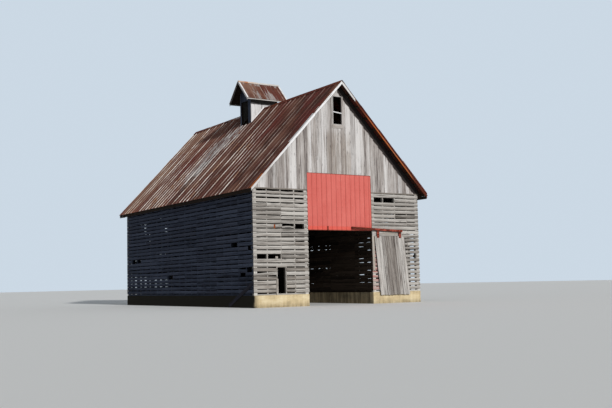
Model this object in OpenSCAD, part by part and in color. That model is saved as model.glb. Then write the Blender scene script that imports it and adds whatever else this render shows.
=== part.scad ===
/* [Plan] */
// Centre to centre spacing of studs and rafters
stud_pitch = 609.6; // [500:0.1:700]
// Stud bays across each crib
crib_bays = 4; // [3:1:5]
// Stud bays along each side
side_bays = 21; // [13:1:25]
// Clear width of the alley that is driven through
alley_w = 3048; // [2600:1:3400]

/* [Foundation] */
// Height of the concrete foundation above the ground
foundation_h = 460; // [300:10:700]

/* [Crib walls] */
// Height of one horizontal slat
slat_h = 140; // [120:1:160]
// Open gap between slats
slat_gap = 23.5; // [15:0.5:35]
// Thickness of slats and boards
board_t = 22; // [18:1:28]
// Rows of slats from sill to plate
slat_rows = 24; // [22:1:26]
// Width of a stud or rafter on its narrow side
stud_t = 45; // [38:1:60]
// Depth of a stud, post, sill or plate
stud_d = 140; // [120:1:160]
// Height of the sill on the foundation
sill_t = 50; // [38:1:60]
// Height of the double plate on top of the studs
plate_t = 90; // [76:1:100]
// Height of the ribbon board under each gable
ribbon_h = 50; // [40:1:60]

/* [Doorway] */
// Clear height of the doorway above the ground
door_clear_h = 2925; // [2700:5:3100]
// Height of the red steel sheet over the front doorway
panel_h = 2245; // [2100:5:2350]
// Lap of the red steel sheet onto the walls beside it
panel_lap = 10; // [5:1:20]
// Spacing of the ribs of the red steel sheet
panel_rib_pitch = 228.6; // [200:0.1:250]
// Height of a rib of the red steel sheet
panel_rib_h = 19; // [12:1:25]
// Width of a rib of the red steel sheet at its foot
panel_rib_w = 60; // [50:1:70]
// Width of a rib of the red steel sheet at its crest
panel_rib_crest = 22; // [15:1:30]
// Flat that is left at the edge of the red steel sheet
panel_edge = 30; // [20:1:40]
// Thickness of every metal sheet
sheet_t = 3; // [2:0.5:5]
// Height of the header over the doorway
header_h = 235; // [180:5:280]
// Depth of the header and of the girts behind the red sheet
girt_d = 90; // [60:5:110]
// Drop from the side walls' plates to the middle girt behind the red sheet
girt_drop = 700; // [500:10:900]

/* [Hatch] */
// Distance of the corn hatch from the front left corner
hatch_x = 1040; // [900:10:1150]
// Width of the corn hatch
hatch_w = 360; // [250:10:450]
// Slat rows cut away at the hatch
hatch_rows = 6; // [4:1:8]
// Width of the upright board nailed beside the hatch
hatch_board_w = 75; // [60:1:90]
// Length of that board
hatch_board_l = 610; // [500:10:700]

/* [Roof] */
// Slope of the main roof and of the cupola roof, in degrees
roof_angle = 46.6; // [42:0.1:50]
// Gap left where a sloped piece seats on another
seat_gap = 0.2; // [0.1:0.05:0.4]
// Depth of a rafter
rafter_d = 150; // [130:1:170]
// Overhang of the sheets beyond the side walls
eave_overhang = 262; // [200:1:320]
// Overhang of the sheets beyond the gable walls
verge_overhang = 367; // [300:1:420]
// Thickness of the ridge board
ridge_t = 38; // [30:1:45]
// Height of the ridge board
ridge_h = 190; // [150:5:200]
// Thickness of a roof batten
batten_t = 22; // [18:1:28]
// Width of a roof batten
batten_w = 90; // [70:5:110]
// Battens on each slope
batten_rows = 11; // [9:1:14]
// Spacing of the lapped edges of the roof sheets
sheet_pitch = 756; // [650:1:800]
// Distance of the first lapped edge from the front verge
first_lap = 293; // [200:1:400]
// Height of a crimp in the roof sheets
crimp_h = 16; // [10:1:20]
// Width of a crimp at its foot
crimp_w = 40; // [30:1:50]
// Width of the boards along the verges
verge_board_w = 84; // [70:1:120]
// Width of the rusted edge strip on the front right verge
strip_w = 84; // [70:1:120]
// Height of the boards along the eaves, from the top of the rafters' ends
eave_board_h = 125; // [90:5:150]
// Length of each wing of the ridge cap
cap_wing = 190; // [150:5:230]
// Height of a tie beam across the cribs and alley
tie_h = 190; // [150:5:220]
// Rafters between one tie beam and the next
tie_every = 4; // [3:1:6]

/* [Gable window] */
// Width of the window opening
window_w = 450; // [350:10:520]
// Height of the window opening
window_h = 1160; // [900:10:1200]
// Drop from the peak of the rafters' underside to the foot of the window opening
window_drop = 1476; // [1450:1:1700]
// Distance of the front window's middle left of the ridge
window_off = 30; // [0:5:60]
// Rise of the gable's lower girt above the side walls' plates
gable_girt_rise = 1250; // [1000:10:1500]
// Width of the window frame's members
frame_w = 45; // [35:1:60]

/* [Cupola] */
// Width of the cupola across the ridge
cupola_w = 1400; // [1200:10:1600]
// Length of the cupola along the ridge
cupola_l = 1030; // [900:10:1200]
// Height of the cupola's ridge above the main ridge
cupola_rise = 1255; // [1150:5:1400]
// Overhang of the cupola roof over its front and rear walls
cupola_eave = 335; // [250:5:400]
// Overhang of the cupola roof over its open ends
cupola_verge = 370; // [280:5:420]
// Width of the cupola end's board on the front side
jamb_front_w = 280; // [200:10:320]
// Width of the cupola end's board on the rear side
jamb_rear_w = 100; // [80:5:150]
// Height of the cupola end opening above the main ridge
cupola_open_h = 330; // [250:10:400]
// Side of a cupola corner post
cupola_post = 70; // [50:5:90]
// Spacing of the crimps of the cupola sheets
cupola_crimp_pitch = 300; // [250:10:350]
// Width of the cupola's bargeboards
cupola_trim_h = 75; // [60:5:90]
// Height of the cupola's eave boards
cupola_eave_h = 62; // [50:1:80]
// Width of the edge strips on the cupola's roof
cupola_strip_w = 70; // [50:5:85]
// Thickness of those strips
cupola_strip_t = 14; // [8:1:15]

/* [Sliding door] */
// Width of the sliding door
door_w = 1500; // [1400:5:1600]
// Height of the sliding door's foot above the ground
door_foot = 320; // [250:5:450]
// Planks in the sliding door
door_planks = 9; // [7:1:10]
// Gap between door planks
plank_gap = 4; // [3:0.5:8]
// How far the door's foot has racked to the right
door_rack = 235; // [150:5:280]
// Distance of the door's top left corner from its first hanger
door_lead = 160; // [130:5:220]
// Drop from the track's low end to the top of the door
door_drop = 168; // [150:1:200]
// Distance of the outer ledgers from the door's head and foot
ledger_in = 150; // [80:5:200]
// Width of a door ledger
ledger_w = 140; // [110:5:160]
// Fall of the door track towards the right, in degrees
track_fall = 2.4; // [1:0.1:3]
// Length of the door track that is left
track_len = 2520; // [2450:5:2600]
// How far the track reaches over the doorway
track_reach = 1035; // [950:5:1080]
// How far the track's low end hangs below the head of the doorway
track_drop = 37; // [10:1:60]
// Distance of the last hanger from the low end of the track
hanger_end = 108; // [90:1:130]
// Distance between the two hangers
hanger_pitch = 1120; // [900:5:1140]
// Height of the door track
track_h = 84; // [80:1:95]
// Width of the door track
track_w = 66; // [64:1:72]
// Wall of the door track
track_wall = 4; // [3:0.5:5]
// Width of the slot along the foot of the track
track_slot = 24; // [22:1:28]
// Radius of a hanger wheel
wheel_r = 26; // [22:1:30]
// Radius of a hanger axle
axle_r = 8; // [6:1:10]
// Radius of the stop bolts through the track
stop_r = 6; // [5:1:8]
// How far a stop bolt stands out of the track on each side
bolt_past = 10; // [5:1:14]
// Thickness of a hanger strap
strap_t = 8; // [6:1:10]
// Width of a hanger strap
strap_w = 120; // [90:5:130]
// Lap of a hanger strap onto the door
strap_lap = 75; // [60:5:120]
// Rib of the red sheet that a bracket of the lost rail is left on, counted from the left
old_bracket_rib = 4; // [3:1:5]
// Height of that bracket
old_bracket_h = 150; // [120:5:180]
// Gap between the door and what it slides past
door_gap = 10; // [6:1:16]

// Height of the jamb board's lower end, where it has broken off
jamb_foot = 1300; // [460:10:1600]

/* [Loose plank] */
// Length of the plank that leans at the front left corner
plank_len = 2130; // [1900:10:2300]
// Lean of that plank above the horizontal, in degrees
plank_lean = 24; // [20:1:30]

/* [Hidden] */
$fn = 48;

// Plan, seen from above: the front faces -Y and the ridge runs along Y
crib_w = crib_bays * stud_pitch;
total_w = 2 * crib_w + alley_w;
total_l = side_bays * stud_pitch;
half_w = total_w / 2;
half_l = total_l / 2;
half_alley = alley_w / 2;
stud_in = board_t + stud_d;

// Heights
slat_pitch = slat_h + slat_gap;
first_slat_z = foundation_h + sill_t + slat_gap;
slat_top_z = first_slat_z + slat_rows * slat_pitch;
plate_top_z = slat_top_z + plate_t;
wall_h = plate_top_z - foundation_h;
gable_z = slat_top_z + ribbon_h;
panel_top_z = door_clear_h + panel_h;
panel_cover = 40;

// Roof planes, as heights at the middle of the ridge
slope = tan(roof_angle);
rise = 1 / cos(roof_angle);
tail_gap = 2;
seat = (plate_t + slat_gap - tail_gap) / slope - board_t;
under_z = plate_top_z + (half_w - board_t - seat) * slope;
rafter_z = under_z + rafter_d * rise;
window_z = under_z - window_drop;
lift = seat_gap * rise;
batten_z = rafter_z + lift + batten_t * rise;
crest_z = batten_z + (sheet_t + crimp_h) * rise;
tail_in = 30;
tail_x = half_w + eave_overhang - tail_in;
tail_end = tail_x - board_t;
tail_cut_z = rafter_z - tail_x * slope - eave_board_h;
eave_x = half_w + eave_overhang;
verge_y = half_l + verge_overhang;
verge_lip = 15;
barge_y = verge_y - verge_lip;
verge_back = barge_y - board_t - seat_gap;
side_split = 10;
split_y = side_split * stud_pitch - half_l;
sheet_start = 35;
crest_w = 8;
lap_offset = 24;

// Timber colours
WEATHERED = "#a8a29a";
PALE = "#cfcbc4";
SHADED = "#6b665f";
INNER = "#5c4a3e";
RUST = "#6e4436";
RAIL_RUST = "#8a3b2c";
RED = "#d9706a";
CONCRETE = "#c9bb98";

function roof_at(z_mid, x) = z_mid - abs(x) * slope;
function row_z(row) = first_slat_z + row * slat_pitch;
function stud_y(k) = k == 0 ? board_t - half_l
    : k == side_bays ? half_l - board_t - stud_t
    : k * stud_pitch - half_l - stud_t / 2;

// Missing stretches of slat: first row, rows, start and end along the wall
FRONT_LEFT_GAPS = [
    [0, hatch_rows, hatch_x, hatch_x + hatch_w],
    [8, 1, stud_in, stud_pitch],
    [8, 1, stud_pitch + stud_t, 2 * stud_pitch],
    [15, 1, 3 * stud_pitch + stud_t, crib_w - stud_in]
];
FRONT_RIGHT_GAPS = [
    [22, 1, stud_in, stud_pitch - stud_t / 2],
    [22, 1, stud_pitch + stud_t / 2, 2 * stud_pitch - stud_t]
];
LEFT_GAPS = [
    [4, 1, stud_pitch + stud_t, 1.7 * stud_pitch],
    [11, 1, 2.1 * stud_pitch, 2.9 * stud_pitch],
    [4, 1, 12 * stud_pitch + stud_t, 13 * stud_pitch],
    [9, 1, 18 * stud_pitch + stud_t, 20 * stud_pitch]
];

// A bar along X with its ends cut square
module bar(from, to, y, z, depth, height) {
    translate([from, y, z]) cube([to - from, depth, height]);
}

// A slatted wall: outer face on Y = 0, framing behind it, running along X
module slatted_wall(slats_from, slats_to, frame_from, frame_to, studs,
    gaps = [], ribbon = false) {
    difference() {
        for (row = [0 : slat_rows - 1])
            bar(slats_from, slats_to, 0, row_z(row), board_t, slat_h);
        for (gap = gaps)
            bar(gap[2], gap[3], -1, row_z(gap[0]) - slat_gap / 2,
                board_t + 2, gap[1] * slat_pitch);
    }
    bar(frame_from, frame_to, board_t, foundation_h, stud_d, sill_t);
    bar(frame_from, frame_to, board_t, plate_top_z - plate_t, stud_d, plate_t);
    for (at = studs)
        bar(at - stud_t / 2, at + stud_t / 2, board_t, foundation_h + sill_t - 1,
            stud_d, wall_h - sill_t - plate_t + 2);
    if (ribbon)
        bar(slats_from, slats_to, 0, slat_top_z, board_t, ribbon_h);
}

// A slatted wall across one end of a crib, seen from outside
module crib_end(gaps = []) {
    slatted_wall(0, crib_w, stud_in, crib_w - stud_in,
        [for (k = [1 : crib_bays - 1]) k * stud_pitch], gaps, true);
}

// A long slatted wall from its front end to the split, or from the split on
module long_wall_front(gaps = []) {
    split = side_split * stud_pitch;
    slatted_wall(board_t, split, stud_in, split,
        [for (k = [1 : side_split - 1]) k * stud_pitch, split - stud_t / 2], gaps);
}

module long_wall_rear(gaps = []) {
    split = side_split * stud_pitch;
    slatted_wall(split, total_l - board_t, split, total_l - stud_in,
        [split + stud_t / 2, for (k = [side_split + 1 : side_bays - 1]) k * stud_pitch], gaps);
}

// The front left wall, framed round its corn hatch
module front_left_wall() {
    hatch_top = row_z(hatch_rows) - slat_gap / 2;
    hatch_foot = foundation_h + sill_t;
    color(WEATHERED)
    translate([-half_w, -half_l, 0]) {
        difference() {
            crib_end(FRONT_LEFT_GAPS);
            bar(hatch_x, hatch_x + hatch_w, board_t, hatch_foot, stud_d + 1, hatch_top - hatch_foot);
        }
        for (x = [hatch_x - stud_t, hatch_x + hatch_w])
            bar(x, x + stud_t, board_t, hatch_foot - 1, stud_d, hatch_top - hatch_foot + 2);
        bar(hatch_x - stud_t, hatch_x + hatch_w + stud_t, board_t, hatch_top, stud_d, stud_t);
        translate([hatch_x - hatch_board_w, -board_t, foundation_h])
            cube([hatch_board_w, board_t, hatch_board_l]);
    }
}

// Stands a long wall on its line, with its framing towards +X or -X
module face_left(x) {
    translate([x, -half_l, 0]) rotate([0, 0, 90]) mirror([0, 1, 0]) children();
}

module face_right(x) {
    translate([x, -half_l, 0]) rotate([0, 0, 90]) children();
}

module left_wall_front() { color(SHADED) face_left(-half_w) long_wall_front(LEFT_GAPS); }
module left_wall_rear() { color(SHADED) face_left(-half_w) long_wall_rear(LEFT_GAPS); }
module right_wall_front() { color(WEATHERED) face_right(half_w) long_wall_front(); }
module right_wall_rear() { color(WEATHERED) face_right(half_w) long_wall_rear(); }
module left_alley_wall_front() { color(INNER) face_right(-half_alley) long_wall_front(); }
module left_alley_wall_rear() { color(INNER) face_right(-half_alley) long_wall_rear(); }
module right_alley_wall_front() { color(INNER) face_left(half_alley) long_wall_front(); }
module right_alley_wall_rear() { color(INNER) face_left(half_alley) long_wall_rear(); }

module front_right_wall() {
    color(WEATHERED) translate([half_alley, -half_l, 0]) crib_end(FRONT_RIGHT_GAPS);
}

module rear_left_wall() {
    color(WEATHERED) translate([-half_alley, half_l, 0]) rotate([0, 0, 180]) crib_end();
}

module rear_right_wall() {
    color(WEATHERED) translate([half_w, half_l, 0]) rotate([0, 0, 180]) crib_end();
}

module foundations() {
    color(CONCRETE)
    for (x = [-half_w, half_alley])
        translate([x, -half_l, 0]) cube([crib_w, total_l, foundation_h]);
}

// The four posts in one end wall
module end_posts() {
    for (x = [-half_w + board_t, -half_alley - stud_in, half_alley + board_t, half_w - stud_in])
        translate([x, -half_l + board_t, foundation_h]) cube([stud_d, stud_d, wall_h]);
}

module corner_posts() {
    color(WEATHERED) {
        end_posts();
        rotate([0, 0, 180]) end_posts();
    }
}

// A flat shape in the XZ plane, from y on towards +Y
module upright(y, depth) {
    translate([0, y + depth, 0]) rotate([90, 0, 0]) linear_extrude(depth) children();
}

// One rafter of the left slope: plumb cuts at ridge and tail, a level cut under the tail, notched on the plate
module rafter() {
    top = rafter_d * rise;
    polygon([
        [-ridge_t / 2, roof_at(under_z, ridge_t / 2)],
        [-ridge_t / 2, roof_at(rafter_z, ridge_t / 2)],
        [-tail_end, roof_at(rafter_z, tail_end)],
        [-tail_end, tail_cut_z],
        [-(under_z - tail_cut_z) / slope, tail_cut_z],
        [-half_w + board_t, roof_at(under_z, half_w - board_t)],
        [-half_w + board_t, plate_top_z],
        [-half_w + board_t + seat, plate_top_z]
    ]);
}

module rafters() {
    color(INNER)
    for (k = [0 : side_bays]) {
        upright(stud_y(k), stud_t) rafter();
        upright(stud_y(k), stud_t) mirror([1, 0]) rafter();
    }
}

// A tie beam whose ends are cut to the underside of the rafters
module tie_beam() {
    foot = half_w - board_t - seat - lift;
    head = (under_z - plate_top_z - tie_h) / slope - lift;
    polygon([[-foot, plate_top_z], [-head, plate_top_z + tie_h],
        [head, plate_top_z + tie_h], [foot, plate_top_z]]);
}

module tie_beams() {
    color(INNER)
    for (k = [tie_every : tie_every : side_bays - tie_every])
        upright(stud_y(k), stud_t) tie_beam();
}

module ridge_board() {
    color(INNER)
    translate([-ridge_t / 2, -half_l + board_t, roof_at(rafter_z, ridge_t / 2) - ridge_h])
        cube([ridge_t, total_l - 2 * board_t, ridge_h]);
}

// Puts something on the left slope: X runs down the slope, Z is square to it
module on_slope(z_mid) {
    translate([0, 0, z_mid]) rotate([0, 180 - roof_angle, 0]) mirror([0, 0, 1]) children();
}

// The shaft under the cupola that the roof covering leaves open
module cupola_shaft() {
    translate([-cupola_w / 2 + board_t, -cupola_l / 2 + board_t, plate_top_z])
        cube([cupola_w - 2 * board_t, cupola_l - 2 * board_t, cupola_rise + rafter_z - plate_top_z]);
}

module slope_battens() {
    first = 45;
    last = tail_x * rise - batten_w - 5;
    difference() {
        on_slope(rafter_z + lift)
            for (j = [0 : batten_rows - 1])
                translate([first + j * (last - first) / (batten_rows - 1), -verge_back, 0])
                    cube([batten_w, 2 * verge_back, batten_t]);
        cupola_shaft();
    }
}

module roof_battens() {
    color(INNER) {
        slope_battens();
        mirror([1, 0, 0]) slope_battens();
    }
}

// One crimp of a roof sheet, as the points of its upper line
function crimp(y, height, width, crest) = [
    [y - width / 2, 0], [y - crest / 2, height], [y + crest / 2, height], [y + width / 2, 0]
];

// A crimped sheet's section: the line through the crimps, with the sheet's thickness
function sheet_section(from, to, crimps, height, width, crest) =
    let (line = [for (y = crimps) for (p = crimp(y, height, width, crest)) p])
    concat(
        [[from, 0]], line, [[to, 0]],
        [[to, sheet_t]], [for (i = [len(line) - 1 : -1 : 0]) line[i] + [0, sheet_t]], [[from, sheet_t]]
    );

// Crimps of the main roof: two at each lapped edge and one between
function roof_crimps() = [
    for (lap = [-verge_y + first_lap : sheet_pitch : verge_y])
        for (y = [lap - lap_offset, lap + lap_offset, lap + sheet_pitch / 2])
            if (y + crimp_w < verge_y) y
];

module roof_sheets() {
    length = eave_x * rise - sheet_start;
    difference() {
        on_slope(batten_z)
            translate([sheet_start, 0, 0]) rotate([90, 0, 90]) linear_extrude(length)
                polygon(sheet_section(-verge_y, verge_y, roof_crimps(), crimp_h, crimp_w, crest_w));
        cupola_shaft();
    }
}

module left_roof_sheets() { color(RUST) roof_sheets(); }
module right_roof_sheets() { color(RUST) mirror([1, 0, 0]) roof_sheets(); }

// The ridge cap lies on the crests of both slopes
module cap_section(z_mid, wing) {
    drop = sheet_t * rise;
    reach = wing / rise;
    polygon([[0, z_mid], [reach, roof_at(z_mid, reach)], [reach, roof_at(z_mid, reach) + drop],
        [0, z_mid + drop], [-reach, roof_at(z_mid, reach) + drop], [-reach, roof_at(z_mid, reach)]]);
}

module ridge_cap() {
    color(RUST)
    difference() {
        upright(-verge_y, 2 * verge_y) cap_section(crest_z + lift, cap_wing);
        translate([-cupola_w, -cupola_l / 2, plate_top_z]) cube([2 * cupola_w, cupola_l, rafter_z]);
    }
}

// A bargeboard of the left slope, under the sheets' edge
module bargeboard(width) {
    top = batten_z - lift;
    foot = top - width * rise;
    polygon([[0, top], [0, foot], [-tail_x, roof_at(foot, tail_x)], [-tail_x, roof_at(top, tail_x)]]);
}

module barge_pair(left_w, right_w) {
    upright(-barge_y, board_t) bargeboard(left_w);
    upright(-barge_y, board_t) mirror([1, 0]) bargeboard(right_w);
}

// The board along the left eave: it covers the rafters' ends and is bevelled under the battens
module eave_board() {
    upright(-verge_back, 2 * verge_back)
        polygon([[-tail_x, tail_cut_z], [-tail_x, roof_at(rafter_z, tail_x)],
            [-tail_end, roof_at(rafter_z, tail_end)], [-tail_end, tail_cut_z]]);
}

module bargeboards() {
    color(PALE) {
        barge_pair(verge_board_w, strip_w);
        rotate([0, 0, 180]) barge_pair(verge_board_w, verge_board_w);
        eave_board();
        mirror([1, 0, 0]) eave_board();
    }
}

// The gable's boarding: its foot over the doorway is lower or higher than beside it
module gable(foot_z, middle) {
    difference() {
        upright(-half_l, board_t) polygon([
            [-half_w, gable_z], [-half_alley, gable_z], [-half_alley, foot_z],
            [half_alley, foot_z], [half_alley, gable_z], [half_w, gable_z],
            [half_w, roof_at(rafter_z, half_w)], [0, rafter_z], [-half_w, roof_at(rafter_z, half_w)]
        ]);
        translate([middle - window_w / 2, -half_l - 1, window_z])
            cube([window_w, board_t + 2, window_h]);
    }
}

// Girts and window posts inside a gable, cut to the underside of the rafters
module gable_frame(middle) {
    girts = [plate_top_z + gable_girt_rise, window_z - frame_w - stud_d];
    upright(-half_l + board_t, stud_t) tie_beam();
    for (z = girts) {
        foot = (under_z - z) / slope - lift;
        head = (under_z - z - stud_d) / slope - lift;
        upright(-half_l + board_t, stud_t)
            polygon([[-foot, z], [-head, z + stud_d], [head, z + stud_d], [foot, z]]);
    }
    for (side = [-1, 1]) {
        inner = middle + side * (window_w / 2 + frame_w);
        outer = inner + side * stud_t;
        upright(-half_l + board_t, stud_t)
            polygon([[inner, plate_top_z + tie_h - 1], [outer, plate_top_z + tie_h - 1],
                [outer, roof_at(under_z - lift, outer)],
                [inner, roof_at(under_z - lift, inner)]]);
    }
}

module gable_frames() {
    color(INNER) {
        gable_frame(-window_off);
        rotate([0, 0, 180]) gable_frame(window_off);
    }
}

// The frame stands in the window opening and laps the posts behind it
module window_frame(middle) {
    depth = board_t + stud_t;
    translate([middle, -half_l, 0]) {
        difference() {
            translate([-window_w / 2, -board_t, window_z])
                cube([window_w, depth + board_t, window_h]);
            translate([-window_w / 2 + frame_w / 2, -board_t - 1, window_z + frame_w / 2])
                cube([window_w - frame_w, depth + board_t + 2, window_h - frame_w]);
        }
        translate([-window_w / 2, -board_t, window_z + 0.41 * window_h])
            cube([window_w, board_t, frame_w]);
        translate([-window_w / 2 - frame_w, -board_t, window_z - 3 * frame_w])
            cube([window_w + 2 * frame_w, board_t, 3 * frame_w]);
        translate([window_w / 2, -board_t, window_z])
            cube([frame_w, board_t, window_h]);
    }
}

module front_gable() { color(PALE) gable(panel_top_z - panel_cover, -window_off); }
module rear_gable() { color(PALE) rotate([0, 0, 180]) gable(door_clear_h, window_off); }
module front_window_frame() { color(PALE) window_frame(-window_off); }
module rear_window_frame() { color(PALE) rotate([0, 0, 180]) window_frame(window_off); }

// The header spans the doorway between the alley walls, behind what covers it
module doorway_header(cover_t) {
    translate([-half_alley, -half_l + cover_t, door_clear_h])
        cube([alley_w, girt_d, header_h]);
}

module doorway_headers() {
    color(INNER) {
        doorway_header(0);
        rotate([0, 0, 180]) doorway_header(board_t);
    }
}

// Girts that carry the steel sheet above the header
module panel_girts() {
    color(INNER)
    for (z = [plate_top_z - plate_t - girt_drop, panel_top_z - panel_cover - girt_d])
        translate([-half_alley, -half_l, z]) cube([alley_w, board_t, girt_d]);
}

module red_panel() {
    width = alley_w + 2 * panel_lap;
    ribs = [for (x = [panel_rib_pitch : panel_rib_pitch : width - panel_edge]) x];
    color(RED)
    translate([-width / 2, -half_l, door_clear_h])
        linear_extrude(panel_h)
            mirror([0, 1])
                polygon(sheet_section(0, width, ribs, panel_rib_h, panel_rib_w, panel_rib_crest));
}

jamb_w = 110;
track_board_h = 190;
track_board_len = 1520;

module jamb_board() {
    color(PALE)
    translate([half_alley, -half_l - board_t, jamb_foot])
        cube([jamb_w, board_t, door_clear_h - track_board_h - jamb_foot]);
}

module track_board() {
    color(PALE)
    translate([half_alley + panel_lap, -half_l - board_t, door_clear_h - track_board_h])
        cube([track_board_len, board_t, track_board_h]);
}

// The track and the door hang in one upright plane in front of the wall
hang_y = -half_l - board_t - door_gap - 2 * board_t - strap_t / 2;
track_left = half_alley - track_reach;
track_low_z = door_clear_h - track_drop;
door_top = track_low_z - door_drop;
door_h = door_top - door_foot;
last_hanger = track_left + track_len * cos(track_fall) - hanger_end;
hanger_x = [last_hanger - hanger_pitch, last_hanger];
track_floor_z = track_low_z + track_len * sin(track_fall);

// Puts something on the track: X runs along it from its left end, Z = 0 on its foot
module on_track() {
    translate([track_left, hang_y, track_floor_z]) rotate([0, track_fall, 0]) children();
}

module track_section() {
    half = track_w / 2;
    lip = track_slot / 2;
    inner = half - track_wall;
    polygon([[lip, 0], [half, 0], [half, track_h], [-half, track_h], [-half, 0], [-lip, 0],
        [-lip, track_wall], [-inner, track_wall], [-inner, track_h - track_wall],
        [inner, track_h - track_wall], [inner, track_wall], [lip, track_wall]]);
}

// A flat bracket from the back of the track to the wall, at x along the track
module track_bracket(x, packing) {
    reach = -half_l - hang_y - track_w / 2 - packing;
    on_track() translate([x - bracket_w / 2, track_w / 2, track_h - bracket_h])
        cube([bracket_w, reach, bracket_h]);
}

bracket_w = 50;
bracket_h = 45;
bracket_t = 8;

wheel_gap = 0.3;
stop_gap = 1;
axle_z = track_wall + wheel_r + wheel_gap;

// A wheel's place along the track, for a hanger that stands at x
function wheel_at(x) = (x - track_left) / cos(track_fall) + axle_z * tan(track_fall);

// A bolt through the track that the right hanger runs up against
module stop_bolt() {
    on_track()
        translate([wheel_at(hanger_x[1]) + max(wheel_r, strap_w / 2) + stop_r + stop_gap, 0, axle_z])
            rotate([90, 0, 0]) cylinder(r = stop_r, h = track_w + 2 * bolt_past, center = true);
}

module door_track() {
    color(RAIL_RUST) {
        on_track() rotate([90, 0, 90]) linear_extrude(track_len) track_section();
        on_track() translate([track_len, -track_w / 2, 0]) cube([track_wall, track_w, track_h]);
        stop_bolt();
        for (x = [0.25, 0.75] * track_reach) track_bracket(x, panel_rib_h + sheet_t);
        for (x = [0.25, 0.95] * (track_len - track_reach)) track_bracket(track_reach + x, 0);
        old_bracket();
    }
}

// A hooked bracket that is left of the lost part of the rail, on a rib of the red sheet
module old_bracket() {
    rib_y = -half_l - panel_rib_h - sheet_t;
    translate([old_bracket_rib * panel_rib_pitch - panel_lap - half_alley, 0, track_low_z + bracket_w]) {
        translate([-bracket_w / 2, rib_y - bracket_t, 0])
            cube([bracket_w, bracket_t, old_bracket_h]);
        translate([-bracket_w / 2, hang_y, 0])
            cube([bracket_w, rib_y - bracket_t - hang_y + 1, bracket_t]);
    }
}

// The racked door: planks lean with the rack, ledgers stay level
module sliding_door() {
    left = hanger_x[0] - door_lead;
    top = door_top;
    plank_w = (door_w - (door_planks - 1) * plank_gap) / door_planks;
    front = hang_y + strap_t / 2;
    color(WEATHERED) {
        upright(front, board_t)
            for (i = [0 : door_planks - 1]) {
                x = left + i * (plank_w + plank_gap);
                polygon([[x, top], [x + plank_w, top],
                    [x + plank_w + door_rack, door_foot], [x + door_rack, door_foot]]);
            }
        for (z = [door_foot + ledger_in, door_foot + door_h / 2, top - ledger_in - ledger_w]) {
            lean = function (h) door_rack * (top - h) / door_h;
            upright(front + board_t, board_t)
                polygon([[left + lean(z), z], [left + door_w + lean(z), z],
                    [left + door_w + lean(z + ledger_w), z + ledger_w],
                    [left + lean(z + ledger_w), z + ledger_w]]);
        }
    }
}

// A strap with an axle and two wheels that run in the track
module hanger(x) {
    top = door_top;
    wheel_w = 12;
    wheel_y = strap_t / 2 + 2;
    axle_at = track_floor_z - (x - track_left) * tan(track_fall) + axle_z;
    color(RAIL_RUST) {
        translate([x - strap_w / 2, hang_y - strap_t / 2, top - strap_lap])
            cube([strap_w, strap_t, axle_at - top + strap_lap]);
        on_track() translate([wheel_at(x), 0, axle_z]) rotate([90, 0, 0]) {
            cylinder(r = axle_r, h = 2 * (wheel_y + wheel_w), center = true);
            for (side = [-1, 1])
                translate([0, 0, side * (wheel_y + wheel_w / 2)])
                    cylinder(r = wheel_r, h = wheel_w, center = true);
        }
    }
}

module door_hangers() {
    for (x = hanger_x) hanger(x);
}

rear_foot = 150;
rear_split = 5;
rear_rail_h = 60;
rear_strap_in = 200;
rear_ledger_in = 40;
rear_rail_past = 100;

// One of the closed plank doors of the rear doorway, on strap hangers
module rear_door() {
    width = half_alley + jamb_w - rear_split / 2;
    height = door_clear_h - rear_foot;
    translate([rear_split / 2, half_l, rear_foot]) {
        cube([width, board_t, height]);
        for (z = [ledger_in, height / 2, height - ledger_in - ledger_w])
            translate([rear_ledger_in, board_t, z])
                cube([width - 2 * rear_ledger_in, board_t, ledger_w]);
        for (x = [rear_strap_in, width - rear_strap_in - strap_w])
            translate([x, 0, height]) cube([strap_w, strap_t, rear_rail_h]);
    }
}

module rear_doors() {
    color(WEATHERED) {
        rear_door();
        mirror([1, 0, 0]) rear_door();
    }
}

// The rear doors' rail, a flat bar in front of the straps
module rear_track() {
    reach = half_alley + jamb_w + rear_rail_past;
    color(RAIL_RUST)
    translate([-reach, half_l + strap_t, door_clear_h])
        cube([2 * reach, board_t, rear_rail_h]);
}

// Everything below the crests of the main roof
module below_crests() {
    upright(-half_l, total_l)
        under_roof(crest_z + lift);
}

cupola_ridge_z = crest_z + cupola_rise;
cupola_deck_z = cupola_ridge_z - (crimp_h + sheet_t) * rise;
cupola_under_z = cupola_deck_z - board_t * rise;
cupola_eave_y = cupola_l / 2 + cupola_eave;
cupola_verge_x = cupola_w / 2 + cupola_verge;

// A flat shape in the YZ plane, from x on towards +X
module lengthwise(x, depth) {
    translate([x, 0, 0]) rotate([90, 0, 90]) linear_extrude(depth) children();
}

module cupola_walls() {
    top = roof_at(cupola_under_z - lift, cupola_l / 2);
    color(PALE)
    for (y = [-cupola_l / 2, cupola_l / 2 - board_t])
        difference() {
            translate([-cupola_w / 2, y, rafter_z - cupola_w])
                cube([cupola_w, board_t, top - rafter_z + cupola_w]);
            below_crests();
        }
}

module cupola_ends() {
    inner = cupola_l / 2 - board_t;
    low = rafter_z - cupola_w;
    color(SHADED)
    for (x = [-cupola_w / 2, cupola_w / 2 - board_t])
        difference() {
            lengthwise(x, board_t) polygon([[-inner, low], [inner, low],
                [inner, roof_at(cupola_under_z - lift, inner)], [0, cupola_under_z - lift],
                [-inner, roof_at(cupola_under_z - lift, inner)]]);
            translate([x - 1, -cupola_l / 2 + jamb_front_w, low - 1])
                cube([board_t + 2, cupola_l - jamb_front_w - jamb_rear_w,
                    crest_z + cupola_open_h - low + 1]);
            below_crests();
        }
}

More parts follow.
